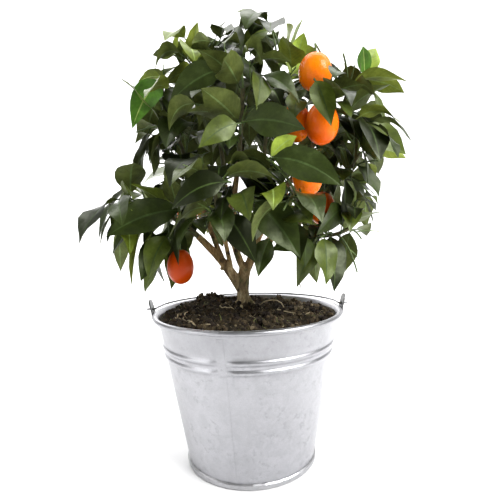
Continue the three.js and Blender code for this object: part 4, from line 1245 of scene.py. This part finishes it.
def growFineTwigs(plan):
    draw, angle = seeded(plan["mass"]["seed"] + fine["seedStep"]), math.radians(fine["angle"])
    for twig in plan["twigs"]:
        along = twig["curve"].heading(fine["share"])
        out = turnedAbout(twig["side"], along, 2 * math.pi * draw())
        heading = unit(along * math.cos(angle) + out * math.sin(angle) + up * fine["rise"])
        half = mix(*fine["length"], draw()) / 2
        start = twig["curve"].at(fine["share"])
        middle = start + heading * half
        later = unit(heading + along * fine["follow"] - up * fine["drop"] * draw())
        curve = Curve(start, middle, middle + later * half)
        points = curve.points(4)
        within = inSpace(plan["mass"], points, fine["spaceShare"])
        if within and twigFree(points, twig, fine["twigClear"]):
            addTwig(plan, "fineTwigs", curve, 4, fine["twigRadii"], bendAxis(curve), droop=fine["droop"])


def growFineLeaves(plan):
    draw = seeded(plan["mass"]["seed"] + 2 * fine["seedStep"])
    for twig in plan["fineTwigs"]:
        for face, share in enumerate(fine["leafShares"]):
            growLeaf(plan, twig, share, face, draw, fine)


def grown(kind):
    return sum(len(plan[kind]) for plan in plans.values())


plans = {name: planMass(index, mass) for index, (name, mass) in enumerate(masses.items())}
for step in (growShoots, growShootLeaves, growSpreadTwigs, growLeaves):
    for plan in plans.values():
        step(plan)
print("grown:", grown("twigs"), "twigs,", grown("leaves"), "leaves")
for step in (growFineTwigs, growFineLeaves):
    for plan in plans.values():
        step(plan)
print("finer growth:", grown("fineTwigs"), "side twigs,", grown("leaves"), "leaves in all")

# Leaves: a short stalk and a folded, twisted blade with its midrib, each in a tint of its spray
blade = {
    "from": 0.11,  # the share of the leaf that is stalk
    "rings": ((0, 0.07), (0.07, 0.31), (0.16, 0.61), (0.27, 0.86), (0.39, 0.99),
              (0.52, 0.98), (0.65, 0.83), (0.78, 0.57), (0.89, 0.28), (0.96, 0.1)),
    "across": (-1, -0.52, -0.06, 0.06, 0.52, 1),
    "fuller": 1.12,  # a real outline is a little fuller than the solids'
    "fold": (0.14, 0.4),
    "wave": (0.06, 0.26),
    "waves": (6.0, 10.5),  # radians of wave along the edge
    "twist": 0.7,
    "steadyTwist": 0.4,  # how much of that a named leaf takes
    "curl": (0.0, 0.13),
    "edgeDrop": 0.45,  # how far the fold flattens towards the edge
    "foldNarrows": 0.12,
    "twistFrom": 0.3,
    "thickness": 0.38,
    "stalkShares": (0, 0.066, 0.17),  # of the whole leaf
    "stalkRadii": (0.95, 0.7, 0.45),
    "crownTop": (30.0, 456.0, 0.0012),  # no leaf bends over this dome: its middle in X, height and fall
    "smoothAngle": 62,
    "seed": 77,
}
tinting = {
    "youngReach": 27.0,  # leaves this near a young shoot's end may be young as well
    "youngFrom": 0.4,  # measured from here on the leaf
    "youngChance": 0.8,
    "youngestChance": 0.5,
    "crownMiddle": (0, 0, 320),
    "crownReach": (150, 110, 140),
    "inside": 0.75,  # of that reach, where leaves are the darkest
    "innerLeaves": ((0.6, "deep"), (1, "dark")),  # chances, added up
    "outerLeaves": ((0.22, "deep"), (0.66, "dark"), (0.96, "mid"), (1, "fresh")),
}
leafTints = {
    # name: (upper side, under side, midrib above, midrib below), each an index into leafMaterials
    "deep": (0, 5, 7, 9),
    "dark": (1, 5, 7, 9),
    "mid": (2, 5, 7, 9),
    "fresh": (3, 6, 8, 8),
    "young": (4, 6, 8, 8),
    "bright": (10, 6, 8, 8),
}
leafPieces = {
    # the leaves are joined in three parts of the crown
    "leaves_left": ("lower_left", "upper_left", "top_left", "front_left"),
    "leaves_right": ("top", "upper_right", "right", "lower_right", "front_right", "front_upper"),
    "leaves_back": ("back_left", "back_right", "back_upper"),
}
youngSprays = [shoot for mass in masses.values() for shoot in mass.get("shoots", ()) if "tone" in shoot]


def leafMaterials():
    return [
        leafFinish("leafDeep", (0.007, 0.0105, 0.002), 0.34),
        leafFinish("leafDark", (0.020, 0.031, 0.005), 0.34),
        leafFinish("leafMid", (0.054, 0.075, 0.009), 0.36),
        leafFinish("leafFresh", (0.105, 0.142, 0.013), 0.38),
        leafFinish("leafYoung", (0.240, 0.320, 0.040), 0.42),
        leafFinish("leafUnder", (0.072, 0.090, 0.019), 0.5, 0.8, specular=0.3),
        leafFinish("leafUnderFresh", (0.200, 0.245, 0.034), 0.5, 0.8, specular=0.3),
        leafFinish("leafRib", (0.036, 0.060, 0.014), 0.5, 0.0),
        leafFinish("leafRibFresh", (0.240, 0.330, 0.080), 0.5, 0.0),
        leafFinish("leafRibUnder", (0.120, 0.175, 0.055), 0.5, 0.0),
        leafFinish("leafBright", (0.055, 0.140, 0.012), 0.38),
    ]


def bladePoints(leaf, random):
    # the corners of a blade: rings of six above, the inner four again below, and the tip
    curve, side = leaf["curve"], leaf["side"]
    fold, wave = random.uniform(*blade["fold"]), random.uniform(*blade["wave"])
    twist, curl = random.uniform(-1, 1) * blade["twist"], random.uniform(*blade["curl"])
    twist *= blade["steadyTwist"] if leaf.get("steady") else 1
    phase, waves = random.uniform(0, 2 * math.pi, 2), random.uniform(*blade["waves"])

    def spine(u):
        # the blade's middle at a share of its length, with the ways across and up
        t = mix(blade["from"], 1, u)
        along = curve.heading(t)
        flat = unit(side - along * (side @ along))
        across = turnedAbout(flat, along, twist * (u - blade["twistFrom"]))
        lift = cross(across, along)
        return curve.at(t) - lift * curl * leaf["length"] * u**3, across, lift

    upper, under = [], []
    for step, (u, wide) in enumerate(blade["rings"]):
        middle, across, lift = spine(u)
        half = wide * leaf["width"] / 2 * blade["fuller"]
        for column, v in enumerate(blade["across"]):
            rise = fold * (abs(v) - blade["edgeDrop"] * v * v) * half
            rise += wave * v * v * half * math.sin(waves * u + phase[0 if v < 0 else 1])
            point = middle + across * v * half * (1 - blade["foldNarrows"] * fold) + lift * rise
            upper.append(point)
            if step and 0 < column < len(blade["across"]) - 1:
                under.append(point - lift * blade["thickness"])
    return np.array(upper + under + [spine(1.0)[0]])


def bladeFaces():
    # faces with their kind (0 upper, 1 under, 2 midrib above, 3 midrib below), all facing outwards
    rings, columns = len(blade["rings"]), len(blade["across"])
    tip = rings * columns + (rings - 1) * (columns - 2)

    def below(ring, column):
        if ring == 0 or column in (0, columns - 1):
            return ring * columns + column
        return rings * columns + (ring - 1) * (columns - 2) + column - 1

    faces, kinds = [], []
    for ring in range(rings):
        for column in range(columns - 1):
            a, b = ring * columns + column, ring * columns + column + 1
            c, d = below(ring, column), below(ring, column + 1)
            if ring < rings - 1:
                faces.append((a, b, b + columns, a + columns))
                faces.append((c, below(ring + 1, column), below(ring + 1, column + 1), d))
            else:
                faces.append((a, b, tip))
                faces.append((c, tip, d))
            kinds += [2, 3] if column == 2 else [0, 1]
    return faces, kinds


def bladeUv():
    def rows(rings, across):
        return [(mix(blade["from"], 1, u), (v + 1) / 2) for u, _ in rings for v in across]

    under = rows(blade["rings"][1:], blade["across"][1:-1])
    return rows(blade["rings"], blade["across"]) + under + [(1, 0.5)]


def tintOf(leaf, random):
    chance = random.uniform()
    if "tint" in leaf:
        return leaf["tint"]
    tip = leaf["curve"].end
    spot = mix(leaf["curve"].start, tip, tinting["youngFrom"])
    near = [s["tone"] for s in youngSprays if np.linalg.norm(spot - s["to"]) < tinting["youngReach"]]
    if near and chance < tinting["youngChance"]:
        return "young" if max(near) > 1 and chance < tinting["youngestChance"] else "fresh"
    away = np.linalg.norm((tip - tinting["crownMiddle"]) / tinting["crownReach"])
    chances = tinting["innerLeaves" if away < tinting["inside"] else "outerLeaves"]
    return next(tint for share, tint in chances if chance < share)


def lowerUnderDome(curve):
    middle, height, fall = blade["crownTop"]
    for spot in (curve.bend, curve.end):
        spot[2] = min(spot[2], height - fall * (spot[0] - middle) ** 2)


def makeLeaves(name, nodes, materials):
    random = np.random.RandomState(blade["seed"])
    leaves = Gathering()
    faces, kinds = bladeFaces()
    uvRows, leafUv = [], bladeUv()
    chosen = [leaf for node in nodes for leaf in plans[node]["leaves"]]
    for leaf in chosen:
        tint = leafTints[tintOf(leaf, random)]
        lowerUnderDome(leaf["curve"])
        leaves.addMany(bladePoints(leaf, random), faces, [tint[kind] for kind in kinds])
        stalk = leaf["curve"].at(blade["stalkShares"])
        stalkPoints, stalkFaces = tube(stalk, blade["stalkRadii"], 4)
        leaves.add((stalkPoints, stalkFaces), tint[2])
        uvRows += leafUv + [(0, 0.5)] * len(stalkPoints)
    piece = leaves.piece(name, materials)
    layer = piece.data.uv_layers.new(name="leafMap")
    corners = np.zeros(len(piece.data.loops), int)
    piece.data.loops.foreach_get("vertex_index", corners)
    layer.data.foreach_set("uv", np.array(uvRows)[corners].ravel())
    smoothByAngle(piece, blade["smoothAngle"])
    return piece


leafLooks = leafMaterials()
for name, parts in leafPieces.items():
    nodes = [part + "_foliage" for part in parts]
    place(makeLeaves(name, nodes, leafLooks), treeBody, "foliage", *nodes)
print("the leaves are made")


def makeTwigs():
    twigs = Gathering()
    for plan in plans.values():
        rows = [(plan["stem"], 7, 0)]
        rows += [(twig, 6, 1) for twig in plan["twigs"]] + [(twig, 5, 2) for twig in plan["fineTwigs"]]
        for twig, sides, slot in rows:
            path = twig["curve"].points(5)
            radii = mix(*np.array(twig["radii"]), np.linspace(0, 1, len(path)))
            twigs.add(tube(path, radii, sides), slot)
    piece = twigs.piece("twigs", [
        twigFinish("stemBark", (0.040, 0.040, 0.014), (0.120, 0.110, 0.040)),
        twigFinish("twigGreen", (0.035, 0.060, 0.014), (0.090, 0.130, 0.030)),
        twigFinish("twigFresh", (0.060, 0.110, 0.022), (0.140, 0.200, 0.045)),
    ])
    smoothByAngle(piece, 70)
    return piece


place(makeTwigs(), treeBody, "foliage")
print("the twigs are made")

# Fruit: an oval body with a dimple under its stalk, a calyx star and a small scar at the far end
fruitForm = {
    "sides": 30,
    "rings": 22,
    "fuller": (0.035, 2.4),  # how much, and where down its side
    "dimple": (0.05, 0.34),  # depth and width, as shares of the fruit
    "nipple": (0.012, 0.12),
    "lump": 0.012,
    "calyxRadius": 3.4,
    "calyxLobes": (5, 0.24),
    "calyxBend": 0.02,
    "calyxSides": 20,
    "calyxRings": ((0.9, 0.34), (1.0, 0.62), (0.15, 1.0), (-0.5, 0.9)),  # height and scale
    "stalkRadii": (1.2, 0.9),
    "tilt": 7,
    "seed": 31,
}


def fruitBody(width, length, random):
    # a ball drawn out a little, fuller in its lower half
    rings, sides = fruitForm["rings"], fruitForm["sides"]
    swelling, swellAt = fruitForm["fuller"]
    lumps = random.uniform(-fruitForm["lump"], fruitForm["lump"], 5)
    points = []
    for ring in range(rings + 1):
        polar = math.pi * ring / rings
        radius = math.sin(polar) * (1 + swelling * math.cos(polar + swellAt))
        height = math.cos(polar)
        depth, spread = fruitForm["dimple" if height > 0 else "nipple"]
        height -= depth * math.exp(-((radius / spread) ** 2))
        for turn in np.arange(sides if 0 < ring < rings else 1) * 2 * math.pi / sides:
            lump = sum(a * math.cos((k + 2) * turn + 9 * a) for k, a in enumerate(lumps))
            half = radius * (1 + lump * math.sin(polar)) * width / 2
            points.append((half * math.cos(turn), half * math.sin(turn), height * length / 2))
    return np.array(points), closedRings(rings - 1, sides)


def calyx(top):
    # short lobes round the stalk, bent down on the fruit
    sides, rings = fruitForm["calyxSides"], fruitForm["calyxRings"]
    lobes, depth = fruitForm["calyxLobes"]
    points = []
    for z, scale in rings:
        for turn in np.arange(sides) * 2 * math.pi / sides:
            radius = fruitForm["calyxRadius"] * scale * (1 + depth * math.cos(lobes * turn) * scale)
            height = top + z - fruitForm["calyxBend"] * radius**2
            points.append((radius * math.cos(turn), radius * math.sin(turn), height))
    faces = ringFaces(0, len(rings), sides) + [tuple(range(sides))]
    faces.append(tuple(reversed(range((len(rings) - 1) * sides, len(rings) * sides))))
    return np.array(points), faces


def makeFruit():
    random = np.random.RandomState(fruitForm["seed"])
    fruits = Gathering()
    for index, fruit in enumerate(allFruit):
        tilt = math.radians(fruitForm["tilt"]) * random.uniform(0.3, 1)
        turn = random.uniform(0, 2 * math.pi)
        axis = np.array((math.cos(turn), math.sin(turn), 0))
        length = fruit["length"]
        pivot = length / 2 - 1  # a little below its top, from its middle
        top, stalkEnd = np.array(fruit["at"], float) + up * pivot, stalkTop(fruit)

        def hung(shape):
            points, faces = shape
            return np.array([turnedAbout(p, axis, tilt) for p in points - (0, 0, pivot)]) + top, faces

        fruits.add(hung(fruitBody(fruit["width"], length, random)), 0 if index == 0 else 1 + index % 2)
        fruits.add(hung(calyx(length / 2 * (1 - 2 * fruitForm["dimple"][0]))), 3)
        path = Curve(top - up, mix(top, stalkEnd, 0.5) + axis * 0.8, stalkEnd).points(2)
        fruits.add(tube(path, np.linspace(*fruitForm["stalkRadii"], len(path)), 7), 4)
    piece = fruits.piece("fruit", [
        peelFinish("peelRed", (0.52, 0.066, 0.001), (0.42, 0.038, 0.001)),
        peelFinish("peelOrange", (0.86, 0.175, 0.003), (0.78, 0.100, 0.002)),
        peelFinish("peelGold", (0.92, 0.225, 0.003), (0.86, 0.140, 0.002)),
        twigFinish("calyx", (0.060, 0.085, 0.025), (0.140, 0.160, 0.060)),
        twigFinish("fruitStalk", (0.050, 0.085, 0.020), (0.120, 0.170, 0.045)),
    ])
    smoothByAngle(piece, 50)
    return piece


place(makeFruit(), treeBody, "foliage")
print("the fruit hangs")

# Wood: trunk and boughs as one skin with ridged bark
wood = {
    "sides": 20,
    "steps": 26,
    "flare": (2.4, 0.3),  # how much wider the foot is, and the share of the trunk it takes
    "fuller": {  # how much stouter the real fork is, at each limb's start and end
        "trunk": (0.96, 1.24),
        "left_bough": (1.38, 1.12),
        "centre_left_bough": (1.2, 1.05),
        "centre_right_bough": (1.28, 1.05),
    },
    "stub": ((-20.5, 10.5, 200), (-27, 3, 200.5)),
    "stubRadii": (3.0, 2.2),
    "roots": (-160, -105, -28, 40, 125),  # degrees round the foot
    "rootPath": ((3, 15), (8.5, 8.5), (17, 3)),  # out from the foot's middle and up from its cut
    "rootRadii": (3.4, 2.8, 1.6),
    "voxel": 0.72,
    "relax": 4,
    "ridge": 0.52,
    "lengthwise": (1, 1, 3.2),  # how far the ridges are drawn out
    "smoothFrom": (250, 90, 0.35),  # ridges fade up to this height, over this much, to this share
}


def noise3(points, size, seed):
    # smooth noise in space from a seeded lattice, between -1 and 1
    side = 41
    table = np.random.RandomState(seed).uniform(-1, 1, (side, side, side))
    scaled = points / size + 200.0
    cell = np.floor(scaled).astype(int)
    f = scaled - cell
    f = f * f * (3 - 2 * f)
    total = 0
    for corner in np.ndindex(2, 2, 2):
        x, y, z = ((cell + corner) % side).T
        weight = np.prod(np.where(corner, f, 1 - f), axis=1)
        total = total + weight * table[x, y, z]
    return total


def limbTube(name):
    shares = np.linspace(0, 1, wood["steps"])
    radii = mix(*(np.array(limbRadii[name]) * wood["fuller"].get(name, (1, 1))), shares)
    if name == "trunk":
        flare, flareShare = wood["flare"]
        radii += flare * np.maximum(0, 1 - shares / flareShare) ** 2
    points, faces = tube(limbCurves[name].at(shares), radii, wood["sides"])
    if name == "trunk":
        points[:, 2] = np.maximum(points[:, 2], limbCurves[name].start[2])
    return points, faces


def addBark(mesh):
    # lengthwise ridges, moved in along the normals, and the cut foot kept flat
    count = len(mesh.vertices)
    points, normals = np.zeros(count * 3), np.zeros(count * 3)
    mesh.vertices.foreach_get("co", points)
    mesh.vertices.foreach_get("normal", normals)
    points, normals = points.reshape(-1, 3) / mm, normals.reshape(-1, 3)
    high, fade, least = wood["smoothFrom"]
    strength = wood["ridge"] * np.clip((high - points[:, 2]) / fade, least, 1)
    grain = points / wood["lengthwise"]
    relief = noise3(grain, 2.6, 5) * 0.55 + noise3(grain, 1.3, 6) * 0.4 + noise3(points, 9, 7) * 0.8
    points += normals * (relief * strength)[:, None]
    points[:, 2] = np.maximum(points[:, 2], limbCurves["trunk"].start[2])
    mesh.vertices.foreach_set("co", (points * mm).ravel())
    mesh.polygons.foreach_set("use_smooth", [True] * len(mesh.polygons))
    mesh.update()


def makeWood():
    bars = Gathering()
    for name in limbs:
        bars.add(limbTube(name), 0)
    bars.add(tube(wood["stub"], wood["stubRadii"], 12), 0)
    foot = limbCurves["trunk"].start
    for turn in wood["roots"]:
        out = np.array((math.cos(math.radians(turn)), math.sin(math.radians(turn)), 0))
        path = [foot + out * away + up * rise for away, rise in wood["rootPath"]]
        bars.add(tube(path, wood["rootRadii"], 10), 0)
    piece = bars.piece("trunk_and_boughs", [barkFinish()])
    makeActive(piece)
    piece.data.remesh_voxel_size = wood["voxel"] * mm
    bpy.ops.object.voxel_remesh()
    relax = piece.modifiers.new("relax", "SMOOTH")
    relax.iterations = wood["relax"]
    bpy.ops.object.modifier_apply(modifier="relax")
    addBark(piece.data)
    return piece


woodPiece = makeWood()
place(woodPiece, treeBody, "bark", *limbs)
print("the wood is made:", len(woodPiece.data.polygons), "faces")

# The stage, in metres: a pale floor that runs up into a backdrop, lamps and a plain white surround
stage = {
    "floorFront": -2.6,
    "floorBack": 1.0,
    "curve": 2.4,
    "curveSteps": 16,
    "top": 4.4,
    "halfWidth": 3.5,
    "flagAt": (0, -1.7, 1.25),
    "flagTurn": 55,
    "flagSize": (3.2, 0.9, 1),
    "middle": (0, 0, 0.22),
    "lamps": {  # place, size and watts
        "key": ((1.0, -0.8, 1.1), 0.8, 39),
        "fill": ((-1.5, -0.9, 0.5), 0.9, 10),
        "back": ((-0.4, 1.0, 1.0), 0.8, 8),
        "backdrop": ((0, 1.2, 2.6), 3.8, 210),
    },
    "backdropMiddle": (0, 3.2, 0.9),
    "surround": 0.33,
}
view = {
    # 0.43 m in front of the bucket's middle and a little above its rim, looking slightly down
    "pitch": 0.049,
    "roll": -0.031,
    "yaw": 0.011,
    "distance": 0.425006,
    "height": 0.240401,
    "sensor": 36,
    "lens": 28.705968,
}


def makeFloor():
    front, back, bow = stage["floorFront"], stage["floorBack"], stage["curve"]
    profile = [(front, 0.0), (back, 0.0)]
    for turn in np.linspace(0.1, math.pi / 2, stage["curveSteps"]):
        profile.append((back + bow * math.sin(turn), bow - bow * math.cos(turn)))
    profile += [(back + bow, stage["top"])]
    points = [(x, y, z) for y, z in profile for x in (-stage["halfWidth"], stage["halfWidth"])]
    faces = [(2 * i, 2 * i + 1, 2 * i + 3, 2 * i + 2) for i in range(len(profile) - 1)]
    paper = Finish("paper", (0.78, 0.78, 0.78), 0.85, Specular_IOR_Level=0.1)
    paper.link(paper.ramp(paper.noise(30, 3), (0.3, 0.77), (0.7, 0.79)), "Base Color")
    return pieceFromArrays("floor", np.array(points) / mm, faces, [paper.material])


def makeFlag():
    # a dark screen over the viewer's head, which the metal and the leaves mirror
    deselectAll()
    turn = (math.radians(stage["flagTurn"]), 0, 0)
    bpy.ops.mesh.primitive_plane_add(size=1, location=stage["flagAt"], rotation=turn)
    flag = bpy.context.object
    flag.name = flag.data.name = "flag"
    flag.scale = stage["flagSize"]
    applyPlace(flag)
    flag.visible_camera = False
    felt = Finish("felt", (0.012, 0.012, 0.012), 0.9)
    felt.link(felt.ramp(felt.noise(40), (0.3, 0.01), (0.7, 0.014)), "Base Color")
    flag.data.materials.append(felt.material)
    return flag


def addLamp(name, spot, size, energy):
    light = bpy.data.lights.new(name, "AREA")
    light.shape, light.size, light.energy = "SQUARE", size, energy
    lamp = bpy.data.objects.new(name, light)
    lamp.location = spot
    target = Vector(stage["backdropMiddle" if name == "backdrop" else "middle"])
    lamp.rotation_euler = (target - Vector(spot)).to_track_quat("-Z", "Y").to_euler()
    bpy.context.scene.collection.objects.link(lamp)
    return lamp


def addCamera():
    turns = (view["pitch"], view["yaw"], view["roll"])
    cp, sp, cy, sy, cr, sr = (f(turn) for turn in turns for f in (math.cos, math.sin))
    right, ahead = Vector((cy, -sy, 0)), Vector((sy * cp, cy * cp, -sp))
    lifted = Vector((sy * sp, cy * sp, cp))
    across, upward = right * cr + lifted * sr, lifted * cr - right * sr
    turned = Matrix((across, upward, -ahead)).transposed().to_4x4()
    turned.translation = Vector((0, -view["distance"], view["height"]))
    lens = bpy.data.cameras.new("view")
    lens.sensor_width, lens.lens = view["sensor"], view["lens"]
    camera = bpy.data.objects.new("view", lens)
    camera.matrix_world = turned
    bpy.context.scene.collection.objects.link(camera)
    bpy.context.scene.camera = camera


def setSurround():
    world = bpy.data.worlds.new("surround")
    world.use_nodes = True
    background = world.node_tree.nodes["Background"]
    background.inputs["Color"].default_value = (1, 1, 1, 1)
    background.inputs["Strength"].default_value = stage["surround"]
    bpy.context.scene.world = world
    bpy.context.scene.view_settings.view_transform = "Standard"


floor = makeFloor()
lamps = [addLamp(name, *settings) for name, settings in stage["lamps"].items()]
makeFlag()
setSurround()
addCamera()
print("the stage is set")
